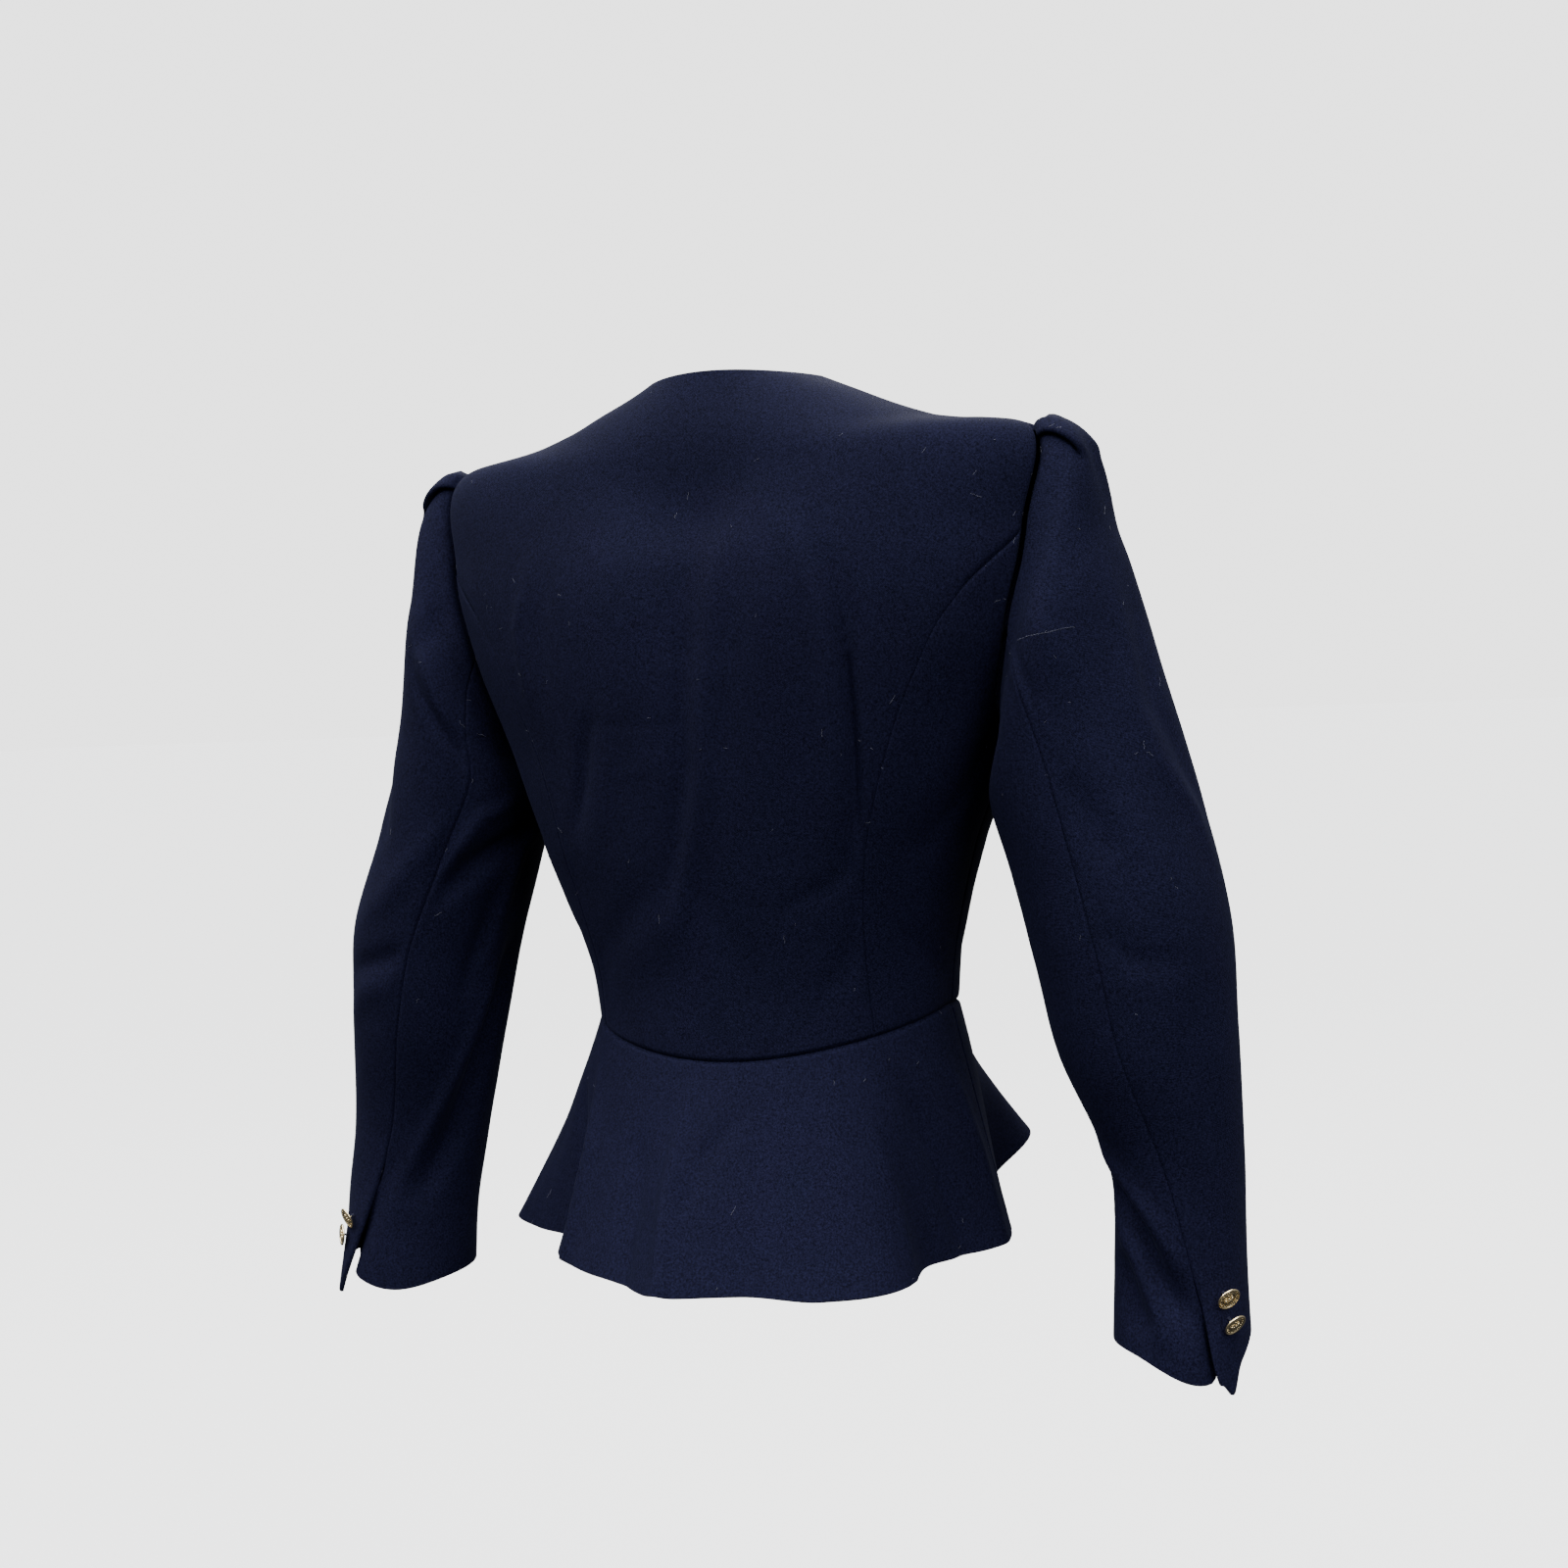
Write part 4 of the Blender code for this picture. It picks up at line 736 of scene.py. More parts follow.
def sleeve(turn, along, arm):
    """Points of a sleeve, drawn for the left side, by turn round it and run along it from the armhole."""
    turn, along = np.broadcast_arrays(np.asarray(turn, float), np.asarray(along, float))
    knots = np.array([0.0] + column(arm, "along"))
    hole = armhole(turn % 360.0)
    values = [body(hole[..., 0], hole[..., 1])]
    for section in arm:
        out, tilt = section.out_radius * np.cos(np.radians(turn)), np.radians(section.tilt)
        y = section.y + section.deep_radius * np.sin(np.radians(turn))
        values.append(np.stack([section.x + out * np.cos(tilt), y, section.z + out * np.sin(tilt)], -1))
    values = np.stack(values)
    slopes = np.gradient(values, knots, axis=0)
    turns = column(SLEEVE_START, "turn")
    read = [around(turns, column(SLEEVE_START, name), turn) for name in ("out", "back", "up", "speed")]
    slopes[0] = unit(np.stack(read[:3], -1)) * read[3][..., None]
    i = np.clip(np.searchsorted(knots, along, side="right") - 1, 0, len(knots) - 2)
    pick = np.ix_(*[range(n) for n in turn.shape])
    span = (knots[i + 1] - knots[i])[..., None]
    t = (along - knots[i])[..., None] / span
    low, high = values[(i, *pick)], values[(i + 1, *pick)]
    rise = high - low
    bend = slopes[(i, *pick)] * span - rise
    fall = rise - slopes[(i + 1, *pick)] * span
    return low + rise * t + t * (1 - t) * (bend * (1 - t) + fall * t)


def sleeve_out(turn, along, arm):
    round_ = sleeve(turn + 1.0, along, arm) - sleeve(turn - 1.0, along, arm)
    down = sleeve(turn, along + 1.0, arm) - sleeve(turn, np.maximum(along - 1.0, 0.0), arm)
    return unit(np.cross(down, round_))


def back_seam_turn(along, arm):
    return through([0.0] + column(arm, "along"), [BACK_SEAM_TURN] + column(arm, "back_seam"), along)


def to_hem(along, turn, cuff):
    """The run along a sleeve, slanted and curved toward its hem."""
    lowered = cuff.hem_drop * np.exp(-(((turn - cuff.hem_turn) / HEM_DROP_REACH) ** 2)) - cuff.hem_rise
    return along + lowered * ease((along - HEM_SLANT_FROM) / (SLEEVE_LENGTH - HEM_SLANT_FROM))


def vent_opened(row, cuff):
    return ease((row - cuff.vent_top) / (SLEEVE_LENGTH - cuff.vent_top))


def flap_place(row, turn, edge_turn, cuff):
    """The run and lift of the flap over the vent, with its pointed corner."""
    inside, opened = edge_turn - turn, vent_opened(row, cuff)
    pointed = cuff.point * opened * np.exp(-(((inside - cuff.point_at) / cuff.point_turn) ** 2))
    return to_hem(row, turn, cuff) + pointed, cuff.flap_lift * opened * np.exp(-((inside / FLAP_LIFT_TURN) ** 2))


def folded_line(height, edge, pieces=7):
    """Half of the pleat from its middle: the two tight folds, and for each point its place among
    the eight corners of a plainly sloping pleat."""
    r = height / 4
    tuck = edge - height / 4 - PLEAT_UNDERFOLD
    a = np.linspace(0, np.pi, pieces)
    flat_top = np.linspace(tuck - r - PLEAT_TOP_STEP, edge - r, 6)[:-1]
    back = np.linspace(edge - r, tuck, 4)[1:-1]
    away = np.linspace(tuck, PLEAT_REACH + edge - PLEAT_HALF_WIDTH, 8)[1:]
    x = np.concatenate([flat_top, edge - r + r * np.sin(a), back, tuck - r * np.sin(a), away])
    z = np.concatenate([flat_top * 0 + 4 * r, 3 * r + r * np.cos(a), back * 0 + 2 * r, r + r * np.cos(a), away * 0])
    corner = np.concatenate([
        np.linspace(0, 1, 6)[:-1], np.linspace(1, 3, pieces), np.linspace(3, 4, 4)[1:-1], np.linspace(4, 6, pieces),
        np.linspace(6, 7, 8)[1:],
    ])
    return x, z, corner


def pleat_profile(along, wider=0.0):
    """Turns and heights of half the pleat, folded at the head and sloping out below it."""
    height = float(np.interp(along, column(PLEAT, "along"), column(PLEAT, "height")))
    folded = float(np.interp(along, column(PLEAT, "along"), column(PLEAT, "folded")))
    x, z, corner = folded_line(max(height, FLATTEST_PLEAT), PLEAT_HALF_WIDTH + wider)
    widening = 1 + (PLEAT_SPREAD - 1) * ease((along - PLEAT_SPREAD_FROM) / PLEAT_SPREAD_OVER)
    flat_x = through(range(8), PLEAT_SLOPE, corner) * widening + wider * corner / 7
    flat_z = through(range(8), PLEAT_SLOPE_HEIGHT, corner) * height
    return (folded * x + (1 - folded) * flat_x) * TURN_PER_MM, folded * z + (1 - folded) * flat_z


def sleeve_grid(turn, along, height, arm, side, creases, seed, sewn):
    """Points of a piece of a sleeve over its turns, runs and heights, with its creases and seams."""
    grid, out = sleeve(turn, along, arm), sleeve_out(turn, along, arm)
    paths = []
    for name, path, depth, width in creases:
        turns, alongs = np.array([path], float).transpose(2, 0, 1)
        if np.mean(turns) > 180 and np.max(turn) < 200:
            turns = turns - 360
        paths.append(Crease(name, sleeve(turns, alongs, arm)[0], depth, width))
    lift = creased(grid, paths) + drape(grid, SLEEVE_UNEVENNESS, seed)
    away = runs(grid)
    rim = np.min([away[side] for side in ("left", "right", "low")], axis=0)
    lift = lift * ease(rim / FLAT_BESIDE_SEAM) * ease(away["low"] / FLAT_BELOW_ARMHOLE)
    lift = lift + CAP_PUFF * np.exp(-(((away["low"] - CAP_PUFF_AT) / CAP_PUFF_REACH) ** 2))
    lift = lift - seams_pressed(grid, sewn, seed)
    moved = grid + out * (height - CLOTH / 2 + lift)[..., None]
    return moved[::-1] if side > 0 else (moved * (-1.0, 1.0, 1.0))[::-1, ::-1]


def upper_row(row, arm, cuff):
    """Turns, runs and heights of one row of the upper piece, over the front, the pleat and the back."""
    seam_turn = float(back_seam_turn(row, arm))
    fore, fore_heights = pleat_profile(row)
    pleat, heights = pleat_profile(row, PLEAT_BACK_WIDENING)
    pleat = pleat * min(1.0, PLEAT_SHARE_OF_BACK * seam_turn / pleat[-1])
    front = (INNER_SEAM_TURN - 360) + places([0, 1], UPPER_FRONT_WIDTH) * (-fore[-1] - (INNER_SEAM_TURN - 360))
    flap_turn = seam_turn - cuff.swing * vent_opened(row, cuff)
    behind = pleat[-1] + places([0, 1], UPPER_BACK_WIDTH) * (flap_turn - pleat[-1])
    turns = np.concatenate([front[:-1], -fore[::-1], [0.0], pleat, behind[1:]])
    top = heights[0] * ease(row / PLEAT_DIP_LENGTH)
    rises = np.concatenate([front[:-1] * 0, fore_heights[::-1], [top], heights, behind[1:] * 0])
    run, lift = flap_place(row, turns, flap_turn, cuff)
    return turns, run, rises + lift


def under_row(row, arm, cuff):
    """Turns, runs and heights of one row of the under piece, which laps under the flap at the vent."""
    seam_turn = float(back_seam_turn(row, arm))
    lap = VENT_UNDERLAP_TURN * ease((row - cuff.vent_top - VENT_LAP_FROM) / VENT_LAP_OVER)
    turns = seam_turn - lap + places([0, 1], UNDER_WIDTH) * (INNER_SEAM_TURN - seam_turn + lap)
    dropped = ease((row - cuff.vent_top) / VENT_DROP_OVER + 1)
    dropped = dropped * ease((seam_turn + VENT_DROP_TURN - turns) / VENT_DROP_EASE)
    opened = vent_opened(row, cuff)
    gape = cuff.gape * opened * ease((seam_turn + VENT_GAPE_TURN - turns) / VENT_GAPE_TURN)
    raised = LAP_HEM_RISE * opened * ease((seam_turn + LAP_RISE_TURN / 2 - turns) / LAP_RISE_TURN)
    return turns, to_hem(row, turns, cuff) - raised, -UNDERLAP_DROP * dropped - gape


sewn = {"left": [(0, PLAIN_SEAM)], "right": [(0, PLAIN_SEAM)], "low": [(0, ARMHOLE_SEAM)]}
sleeve_rows = places([0, 1], SLEEVE_LENGTH) * SLEEVE_LENGTH
for side, suffix, arm, cuff, creases in (
    (1, "left", LEFT_ARM, LEFT_CUFF, LEFT_SLEEVE_CREASES),
    (-1, "right", RIGHT_ARM, RIGHT_CUFF, RIGHT_SLEEVE_CREASES),
):
    for node, row_of, seed, size, under in (
        ("upper_sleeve_", upper_row, 12.0, UPPER_CUTS[suffix], "front_"),
        ("under_sleeve_", under_row, 14.0, UNDER_CUTS[suffix], "upper_sleeve_"),
    ):
        turn, along, height = [np.array(part) for part in zip(*[row_of(row, arm, cuff) for row in sleeve_rows])]
        grid = sleeve_grid(turn, along, height, arm, side, creases, seed + side, sewn)
        cloth_piece(node + suffix, grid, 0)


# Buttons
# Domed gold coloured metal buttons with a polished rim, a ring of fine beads and a plain rosette.
# Each hangs from a wire loop on its back that is sewn to the cloth.

BUTTON_RADIUS, FRONT_BUTTON_RADIUS, FACE_HEIGHT, FACE_SHARE = 7.6, 9.2, 2.1, 0.7
ButtonRing = namedtuple("ButtonRing", "part share height")
BUTTON_PROFILE = [
    ButtonRing("back", 0.0, 0.15), ButtonRing("back", 0.42, 0.15), ButtonRing("back", 0.84, 0.30),
    ButtonRing("turned edge", 0.955, 0.52), ButtonRing("turned edge", 0.992, 0.80),
    ButtonRing("turned edge", 1.0, 1.05), ButtonRing("turned edge", 0.99, 1.32),
    ButtonRing("rim", 0.96, 1.58), ButtonRing("rim", 0.915, 1.74), ButtonRing("rim", 0.87, 1.72),
    ButtonRing("rim", 0.835, 1.52), ButtonRing("groove", 0.81, 1.16), ButtonRing("groove", 0.78, 1.02),
    ButtonRing("groove", 0.70, 0.98), ButtonRing("groove", 0.655, 1.04), ButtonRing("inner ring", 0.63, 1.36),
    ButtonRing("inner ring", 0.605, 1.46), ButtonRing("inner ring", 0.575, 1.40), ButtonRing("field", 0.55, 1.14),
    ButtonRing("field", 0.40, 1.24), ButtonRing("field", 0.20, 1.34), ButtonRing("field", 0.0, 1.36),
]
SPIN_STEPS = 56
Stamped = namedtuple("Stamped", "count turn place height radius shape segments rings")
PETALS = Stamped(8, 0.5, 0.29, 1.30, 0.165, (1.0, 0.50, 0.40, 1), 12, 7)
BOSS = Stamped(1, 0, 0.0, 1.42, 0.13, (1, 1, 0.55, 1), 16, 8)
BEAD_COUNT, BEAD_PLACE, BEAD_HEIGHT, BEAD_SHARE, BEAD_SHAPE = 30, 0.735, 1.12, 0.052, (1, 1, 0.9, 1)
BACK_TARNISH, BACK_BELOW, POLISHED_ABOVE, TARNISH_DEPTH, RIM_SHARE = 0.55, 0.4, 1.42, 0.40, 0.83
LOOP_SHARE, LEAST_LOOP, SHALLOW_LOOP, LOOP_HALF_WIDTH, LOOP_WIRE, LOOP_ENDS = 0.62, 1.1, 1.6, 1.45, 0.42, 0.2
SHANK_THREADS, THREAD_RADIUS, THREAD_BULGE = 7, 0.22, 0.12


def polished_gold():
    gold, nodes, shader, place = new_material("gold_coloured_metal")
    hollow = nodes.new("ShaderNodeAttribute")
    hollow.attribute_name = "tarnish"
    scratches = nodes.new("ShaderNodeTexNoise")
    feed(gold, scratches, {"Scale": 900.0, "Detail": 4.0, "Vector": place})
    dirt = nodes.new("ShaderNodeMath")
    dirt.operation, dirt.use_clamp = "MULTIPLY_ADD", True
    feed(gold, dirt, {0: scratches.outputs["Fac"], 1: 0.35, 2: hollow.outputs["Fac"]})
    worn_off, polish = nodes.new("ShaderNodeMapRange"), nodes.new("ShaderNodeMapRange")
    feed(gold, worn_off, {"From Min": 0.22, "From Max": 1.15, "Value": dirt.outputs["Value"]})
    feed(gold, polish, {"To Min": 0.16, "To Max": 0.42, "Value": dirt.outputs["Value"]})
    colour = mixed(gold, {
        "A": (0.92, 0.76, 0.46, 1.0), "B": (0.050, 0.029, 0.009, 1.0), "Factor": worn_off.outputs["Result"],
    })
    handled = nodes.new("ShaderNodeBump")
    feed(gold, handled, {"Strength": 0.25, "Distance": 0.00006, "Height": scratches.outputs["Fac"]})
    feed(gold, shader, {
        "Metallic": 1.0, "Base Color": colour, "Roughness": polish.outputs["Result"],
        "Normal": handled.outputs["Normal"],
    })
    return gold


def two_tone(name, scale, first, second, surface):
    """A matt material whose colour varies between two with a fine noise."""
    material, nodes, shader, place = new_material(name)
    tone = nodes.new("ShaderNodeTexNoise")
    feed(material, tone, {"Scale": scale, "Vector": place})
    colour = mixed(material, {"A": first, "B": second, "Factor": tone.outputs["Fac"]})
    feed(material, shader, {"Base Color": colour, **surface})
    return material


def strands(name, lines, radius, material, sides=0):
    """Threads or wires along lines of points in millimetres, as one mesh piece."""
    run = bpy.data.curves.new(name, "CURVE")
    run.dimensions, run.bevel_depth, run.bevel_resolution, run.use_fill_caps = "3D", radius * MM, sides, True
    for line in lines:
        spline = run.splines.new("POLY")
        spline.points.add(len(line) - 1)
        for point, place in zip(spline.points, line):
            point.co = (*[c * MM for c in place], 1.0)
    drawn = bpy.data.objects.new(name + "_line", run)
    mesh = bpy.data.meshes.new_from_object(drawn)
    bpy.data.objects.remove(drawn)
    mesh.name = name
    mesh.materials.clear()
    mesh.materials.append(material)
    for face in mesh.polygons:
        face.use_smooth = True
    piece = placed(name, mesh)
    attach(piece, "root")


def button_place(node, radius):
    """The middle of the shank's top and the button's own directions, read from its CAD node."""
    corners = np.array([corner.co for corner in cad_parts[node].data.vertices], float) / MM
    corners = np.unique(np.round(corners, 2), axis=0)
    middle = corners.mean(0)
    axis = np.linalg.svd(corners - middle)[2][2]
    height = (corners - middle) @ axis
    wide = np.linalg.norm(corners - middle - height[:, None] * axis, axis=1) > FACE_SHARE * radius
    if height[wide].mean() < (height.max() + height.min()) / 2:
        axis, height = -axis, -height
    up = unit(np.array([0.0, 0.0, 1.0]) - axis * axis[2])
    shank = height.max() - FACE_HEIGHT - height.min()
    return middle + axis * (height.max() - FACE_HEIGHT), np.stack([np.cross(up, axis), up, axis]), shank


def stamp(shape, kind, radius):
    for k in range(kind.count):
        turn = Matrix.Rotation(2 * np.pi * (k + kind.turn) / kind.count, 4, "Z")
        place = turn @ Matrix.Translation((kind.place * radius, 0, kind.height)) @ Matrix.Diagonal(kind.shape)
        bmesh.ops.create_uvsphere(
            shape, u_segments=kind.segments, v_segments=kind.rings, radius=kind.radius * radius, matrix=place
        )


def sewn_shank(name, foot, directions, shank):
    """The wire loop behind a button and the threads that hold it, and the seat on the cloth."""
    across, upward, outward = directions
    depth = max(LOOP_SHARE * shank, LEAST_LOOP)
    arch = np.linspace(0, np.pi, 13)
    down = -(depth - LOOP_HALF_WIDTH) - LOOP_HALF_WIDTH * np.sin(arch)
    if depth < SHALLOW_LOOP:
        down = -depth * np.sin(arch)
    wire = [
        (LOOP_HALF_WIDTH, LOOP_ENDS), *zip(LOOP_HALF_WIDTH * np.cos(arch), down), (-LOOP_HALF_WIDTH, LOOP_ENDS),
    ]
    loop = [foot + x * across + z * outward for x, z in wire]
    strands(name + "_loop", [loop], LOOP_WIRE, GOLD, 2)
    threads = []
    for a in 2 * np.pi * np.arange(SHANK_THREADS) / SHANK_THREADS:
        start = foot + 0.75 * np.cos(a) * across + 0.75 * np.sin(a) * upward - (shank + 0.9) * outward
        end = foot + 0.30 * np.cos(a) * across + 0.45 * np.sin(a) * upward - (depth - 0.55) * outward
        threads.append([start, 0.5 * (start + end) + THREAD_BULGE * np.cos(a) * across, end])
    strands(name + "_thread", threads, THREAD_RADIUS, THREAD, 1)
    return foot - shank * outward


def stamped_button(name, node, radius):
    foot, directions, shank = button_place(node, radius)
    shape = bmesh.new()
    tarnish = shape.verts.layers.float.new("tarnish")
    corners = [shape.verts.new((ring.share * radius, 0.0, ring.height)) for ring in BUTTON_PROFILE]
    edges = [shape.edges.new(pair) for pair in zip(corners, corners[1:])]
    bmesh.ops.spin(
        shape, geom=corners + edges, cent=(0, 0, 0), axis=(0, 0, 1), angle=2 * np.pi, steps=SPIN_STEPS,
        use_merge=True,
    )
    bmesh.ops.remove_doubles(shape, verts=shape.verts, dist=1e-4)
    bmesh.ops.recalc_face_normals(shape, faces=shape.faces)
    for corner in shape.verts:
        inside = np.hypot(corner.co.x, corner.co.y) / radius < RIM_SHARE
        dulled = float(ease((POLISHED_ABOVE - corner.co.z) / TARNISH_DEPTH) * inside)
        corner[tarnish] = BACK_TARNISH if corner.co.z < BACK_BELOW else dulled
    for k in range(BEAD_COUNT):
        turn = Matrix.Rotation(2 * np.pi * k / BEAD_COUNT, 4, "Z")
        place = turn @ Matrix.Translation((BEAD_PLACE * radius, 0, BEAD_HEIGHT)) @ Matrix.Diagonal(BEAD_SHAPE)
        bmesh.ops.create_icosphere(shape, subdivisions=1, radius=BEAD_SHARE * radius, matrix=place)
    stamp(shape, PETALS, radius)
    stamp(shape, BOSS, radius)
    for face in shape.faces:
        face.smooth = True
    turned = Matrix.Scale(MM, 4) @ Matrix.Translation(foot.tolist()) @ Matrix(directions.T.tolist()).to_4x4()
    bmesh.ops.transform(shape, matrix=turned, verts=shape.verts)
    mesh = bpy.data.meshes.new(name)
    shape.to_mesh(mesh)
    shape.free()
    mesh.materials.append(GOLD)
    disc = placed(name, mesh)
    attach(disc, "root")
    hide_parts(node)
    return sewn_shank(name, foot, directions, shank)


GOLD = polished_gold()
THREAD = two_tone(
    "navy_sewing_thread", 1600.0, (0.003, 0.0035, 0.013, 1.0), (0.011, 0.013, 0.040, 1.0),
    {"Roughness": 0.6, "Specular IOR Level": 0.2},
)
for suffix in ("left", "right"):
    for number in (1, 2):
        node = "cuff_button_%s_%d" % (suffix, number)
        stamped_button(node + "_gold", node, BUTTON_RADIUS)
front_seats = [
    stamped_button("front_button_%d_gold" % number, "front_button_%d" % number, FRONT_BUTTON_RADIUS)
    for number in (1, 2, 3, 4)
]


# Buttonholes
# Each front button passes through a cut in the right front that is worked all round with close
# stitches of navy thread, fanned round the end where the button sits and barred at the other.

HOLE_LENGTH, HOLE_PAST_BUTTON = 22.0, 2.5
STITCH_REACH, STITCH_PITCH, STITCH_SWAY, STITCH_RADIUS = 2.0, 0.72, 0.12, 0.25
FAN_STITCHES, BAR_STITCHES, BAR_PITCH = 9, 4, 0.4
SIDE_STITCH, FAN_STITCH = [(0.15, 0.15), (0.55, 0.42)], [(0.4, 0.4), (STITCH_REACH - 0.35, 0.32), (STITCH_REACH, 0.0)]
BAR_STITCH = [(-STITCH_REACH, 0.0), (-1.4, 0.5), (0, 0.55), (1.4, 0.5), (STITCH_REACH, 0.0)]


def cloth_surface(name):
    return BVHTree.FromObject(bpy.data.objects[name], bpy.context.evaluated_depsgraph_get())


def lie_on(surface, point, outward, above):
    """A point moved to a height above the outside of a piece of cloth."""
    outward = unit(np.asarray(outward, float))
    start = Vector(((np.asarray(point, float) + 12.0 * outward) * MM).tolist())
    hit = surface.ray_cast(start, Vector((-outward).tolist()), 0.04)
    if hit[0] is None:
        hit = surface.find_nearest(start)
    return np.array(hit[0]) / MM + above * np.array(hit[1])


def stitch(seat, points):
    """A thread over the right front, through (x, z) places at their heights above the cloth."""
    return [lie_on(right_front, (x, seat[1], seat[2] + z), (0, -1, 0), above) for (x, z), above in points]


bpy.context.view_layer.update()
right_front = cloth_surface("front_right_cloth")
stitches = []
for seat in front_seats:
    end = seat[0] + HOLE_PAST_BUTTON
    for k in range(round(HOLE_LENGTH / STITCH_PITCH)):
        for way in (1, -1):
            reach = STITCH_REACH + STITCH_SWAY * np.sin(2.3 * k + way)
            line = [*SIDE_STITCH, (reach - 0.35, 0.32), (reach, 0.0)]
            stitches.append(stitch(seat, [((end - k * STITCH_PITCH, way * z), above) for z, above in line]))
    for k in range(FAN_STITCHES):
        a = np.pi * (k / (FAN_STITCHES - 1) - 0.5)
        stitches.append(stitch(seat, [((end + r * np.cos(a), r * np.sin(a)), above) for r, above in FAN_STITCH]))
    for k in range(BAR_STITCHES):
        x = end - HOLE_LENGTH - BAR_PITCH * k
        stitches.append(stitch(seat, [((x, z), above) for z, above in BAR_STITCH]))
strands("buttonhole_stitches", stitches, STITCH_RADIUS, THREAD, 1)


# Lint
# Short pale fibres and one long hair that have caught on the nap of the suiting, most of them on
# the shoulders and the upper sleeves.

LintPatch = namedtuple("LintPatch", "piece count")
LINT = [
    LintPatch("back_panel", 60), LintPatch("upper_sleeve_right", 48), LintPatch("upper_sleeve_left", 30),
    LintPatch("under_sleeve_right", 16), LintPatch("under_sleeve_left", 14), LintPatch("side_back_left", 8),
    LintPatch("side_back_right", 8), LintPatch("front_left", 14), LintPatch("front_right", 14),
    LintPatch("peplum_back", 22), LintPatch("peplum_front_left", 10), LintPatch("peplum_front_right", 10),
]
LINT_RADIUS, LINT_ABOVE, LINT_POINTS, LINT_BEND, SHORT_SHARE = 0.06, 0.10, 6, 0.45, 0.75
LEAST_LINT, LINT_FROM_HEIGHT, LINT_OVER_HEIGHT = 0.12, 0.40, 0.40
HAIR = [(101, 66), (92, 82), (84, 95), (73, 110), (63, 119), (56, 125)]
HAIR_ABOVE, HAIR_POINTS = 0.12, 26


def threaded(points, count):
    """A line of so many places along the straight runs between points."""
    steps = np.linspace(0, len(points) - 1, count)
    return [[np.interp(s, range(len(points)), points[:, k]) for k in range(3)] for s in steps]


chance = np.random.default_rng(11)
fibres = []
for patch_of_lint in LINT:
    surface = cloth_surface(patch_of_lint.piece + "_cloth")
    mesh = bpy.data.objects[patch_of_lint.piece + "_cloth"].data
    heights = np.array([corner.co.z for corner in mesh.vertices])
    share = LEAST_LINT + ease((heights + LINT_FROM_HEIGHT) / LINT_OVER_HEIGHT)
    for k in chance.choice(len(mesh.vertices), patch_of_lint.count, replace=False, p=share / share.sum()):
        place, outward = np.array(mesh.vertices[k].co) / MM, np.array(mesh.vertices[k].normal)
        along = unit(np.cross(outward, chance.normal(size=3)))
        bend = unit(np.cross(outward, along)) * chance.uniform(-LINT_BEND, LINT_BEND)
        length = chance.uniform(1.0, 3.4) if chance.random() < SHORT_SHARE else chance.uniform(3.4, 7.5)
        steps = np.linspace(-0.5, 0.5, LINT_POINTS)
        line = [place + length * (s * along + (s * s + 0.2 * np.sin(9 * s)) * bend) for s in steps]
        fibres.append([lie_on(surface, point, outward, LINT_ABOVE) for point in line])
LINT_COLOUR = two_tone(
    "pale_lint", 40.0, (0.05, 0.06, 0.10, 1.0), (0.18, 0.18, 0.22, 1.0), {"Roughness": 0.7}
)
strands("lint_fibres", fibres, LINT_RADIUS, LINT_COLOUR)
surface = cloth_surface("upper_sleeve_right_cloth")
turns, alongs = np.array([HAIR], float).transpose(2, 0, 1)
hair = threaded(sleeve(turns, alongs, RIGHT_ARM)[0] * (-1.0, 1.0, 1.0), HAIR_POINTS)
hair_out = threaded(sleeve_out(turns, alongs, RIGHT_ARM)[0] * (-1.0, 1.0, 1.0), HAIR_POINTS)
lying = [lie_on(surface, point, out, HAIR_ABOVE) for point, out in zip(hair, hair_out)]
strands("long_hair", [lying], LINT_RADIUS, LINT_COLOUR)


# Room, light and camera
# A plain pale floor in a white room, light from above and from three lamps, and a camera behind
# the right shoulder of the jacket, level with its shoulder blades.

FLOOR_Z, FLOOR_REACH = -1.35, 30.0
room = bmesh.new()
bmesh.ops.create_grid(room, x_segments=1, y_segments=1, size=FLOOR_REACH)
floor_mesh = bpy.data.meshes.new("floor")
bmesh.ops.translate(room, vec=(0, 0, FLOOR_Z), verts=room.verts)
room.to_mesh(floor_mesh)
room.free()
floor = placed("floor", floor_mesh)
paper = bpy.data.materials.new("pale_floor")
paper.use_nodes = True
feed(paper, paper.node_tree.nodes["Principled BSDF"], {"Base Color": (0.9, 0.9, 0.9, 1.0), "Roughness": 0.9})
floor_mesh.materials.append(paper)
floor.visible_diffuse = floor.visible_glossy = False

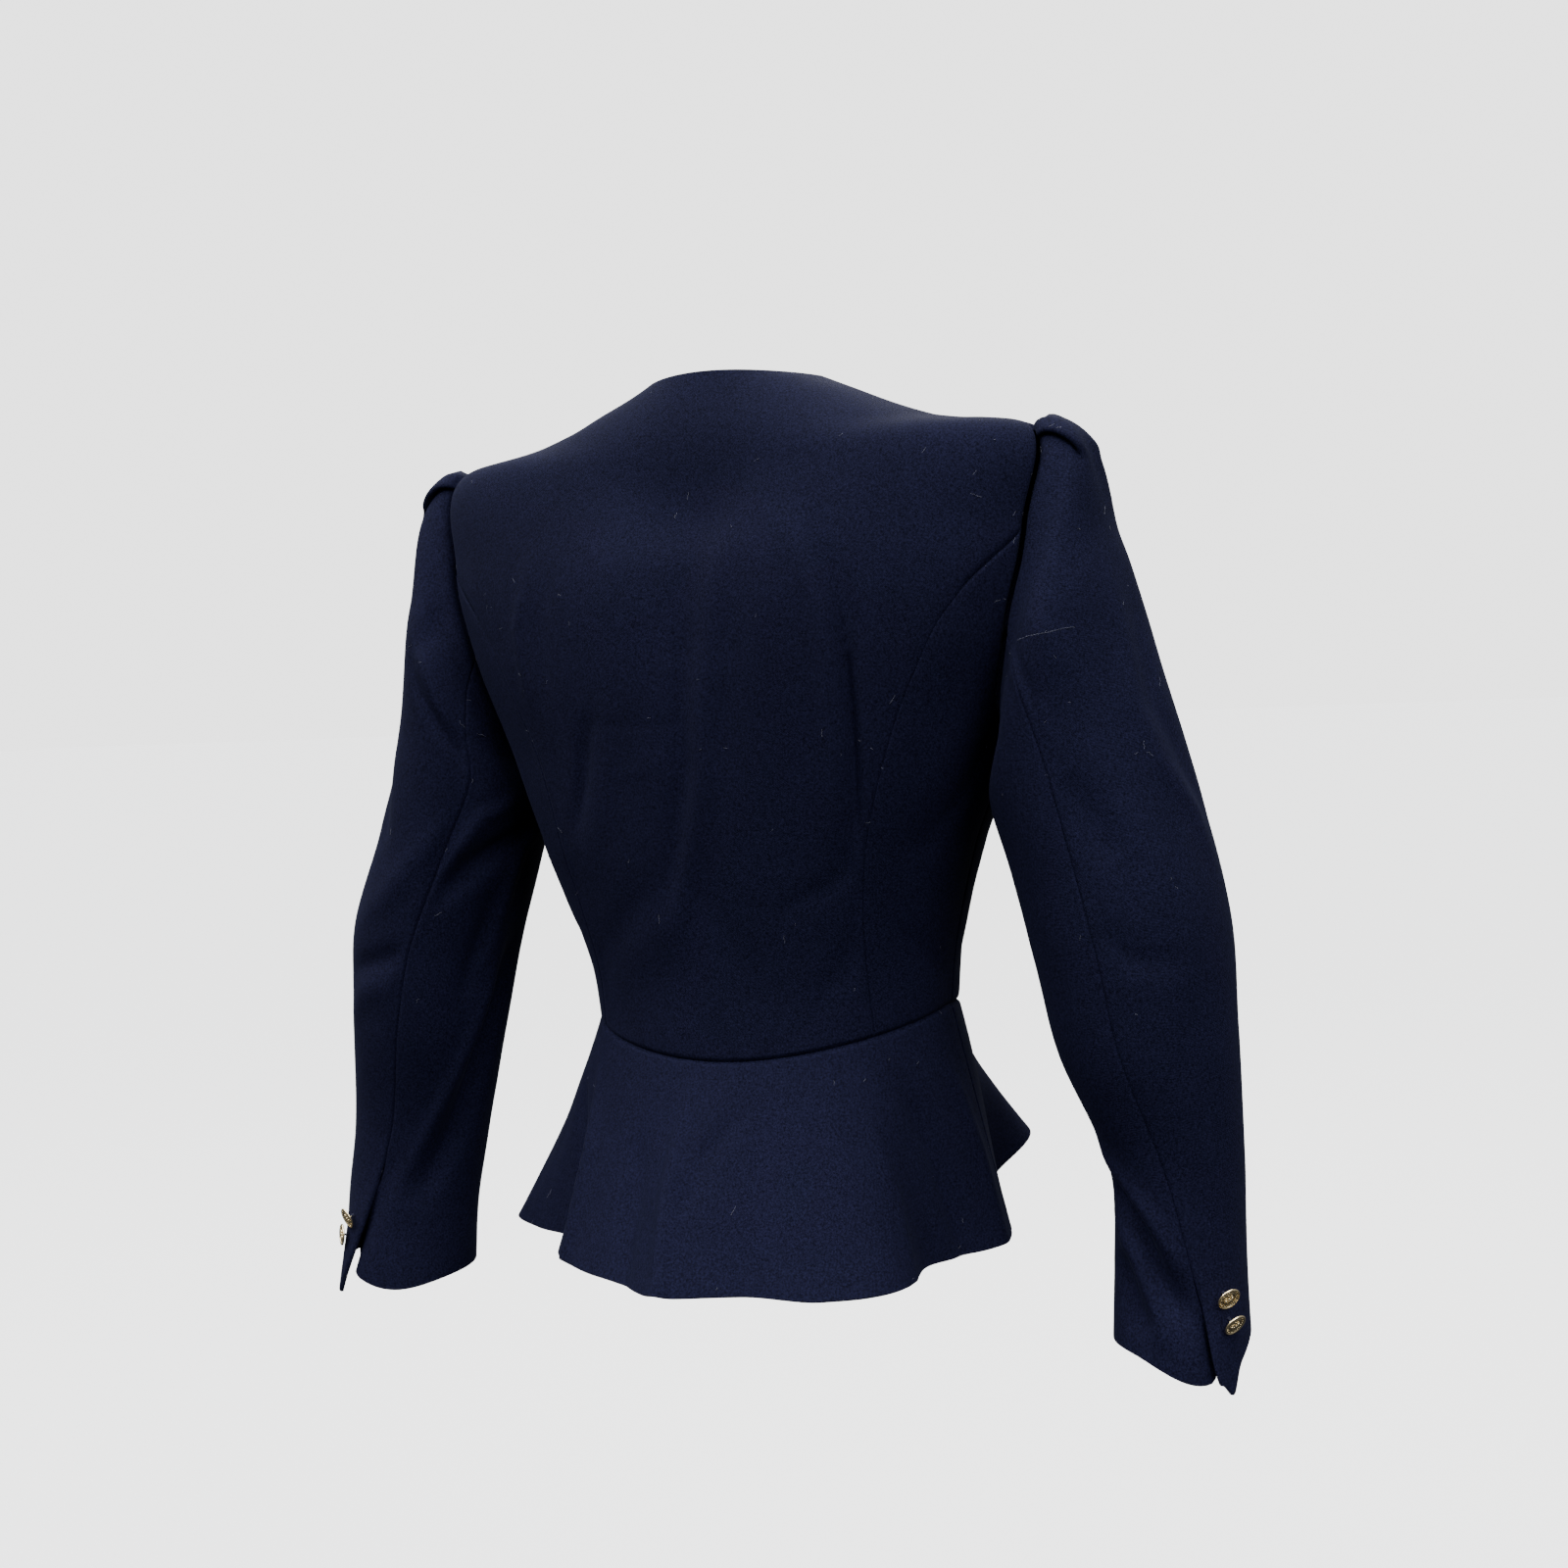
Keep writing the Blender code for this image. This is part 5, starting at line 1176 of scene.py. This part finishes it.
sky = bpy.data.worlds.new("studio")
bpy.context.scene.world = sky
sky.use_nodes = True
sky_nodes = sky.node_tree.nodes
toward, height_of = sky_nodes.new("ShaderNodeTexCoord"), sky_nodes.new("ShaderNodeSeparateXYZ")
feed(sky, height_of, {"Vector": toward.outputs["Generated"]})
brightness = sky_nodes.new("ShaderNodeMapRange")
feed(sky, brightness, {
    "From Min": -0.4, "From Max": 0.7, "To Min": 0.07, "To Max": 0.60, "Value": height_of.outputs["Z"],
})
room_light, white_wall = sky_nodes["Background"], sky_nodes.new("ShaderNodeBackground")
feed(sky, room_light, {"Color": (0.94, 0.97, 1.0, 1.0), "Strength": brightness.outputs["Result"]})
feed(sky, white_wall, {"Strength": 3.4})
seen, either = sky_nodes.new("ShaderNodeLightPath"), sky_nodes.new("ShaderNodeMixShader")
feed(sky, either, {
    "Fac": seen.outputs["Is Camera Ray"], 1: room_light.outputs["Background"], 2: white_wall.outputs["Background"],
})
feed(sky, sky_nodes["World Output"], {"Surface": either.outputs["Shader"]})

top_light = bpy.data.lights.new("top_light", "SUN")
top_light.energy, top_light.angle = 8.8, 1.5
top_stand = placed("top_light", top_light)
top_stand.rotation_mode = "QUATERNION"
top_stand.rotation_quaternion = Vector((-0.12, -0.16, -1.0)).to_track_quat("-Z", "Y")

Lamp = namedtuple("Lamp", "name place size power")
for lamp in [
    Lamp("left_side", (2.0, 2.1, 1.9), 1.1, 46),
    Lamp("right_side", (-2.4, 1.6, 1.3), 1.4, 72),
    Lamp("far_side", (1.2, -3.0, 2.2), 2.0, 60),
]:
    light = bpy.data.lights.new(lamp.name, "AREA")
    light.size, light.energy = lamp.size, lamp.power
    stand = placed(lamp.name, light)
    stand.location = lamp.place
    stand.rotation_mode = "QUATERNION"
    stand.rotation_quaternion = (Vector((0, 0, -0.3)) - Vector(lamp.place)).to_track_quat("-Z", "Y")

CAMERA_PLACE = Vector((-0.6601, 1.2990, -0.1735))
CAMERA_RIGHT, CAMERA_UP = Vector((-0.897, -0.440, -0.050)), Vector((-0.018, -0.077, 0.997))
SENSOR_WIDTH, FOCAL_LENGTH = 36.0, 50.84
view = bpy.data.cameras.new("camera")
view.sensor_width, view.lens = SENSOR_WIDTH, FOCAL_LENGTH
camera = placed("camera", view)
right = CAMERA_RIGHT.normalized()
up = (CAMERA_UP - right * CAMERA_UP.dot(right)).normalized()
camera.matrix_world = Matrix.Translation(CAMERA_PLACE) @ Matrix((right, up, right.cross(up))).transposed().to_4x4()
bpy.context.scene.camera = camera
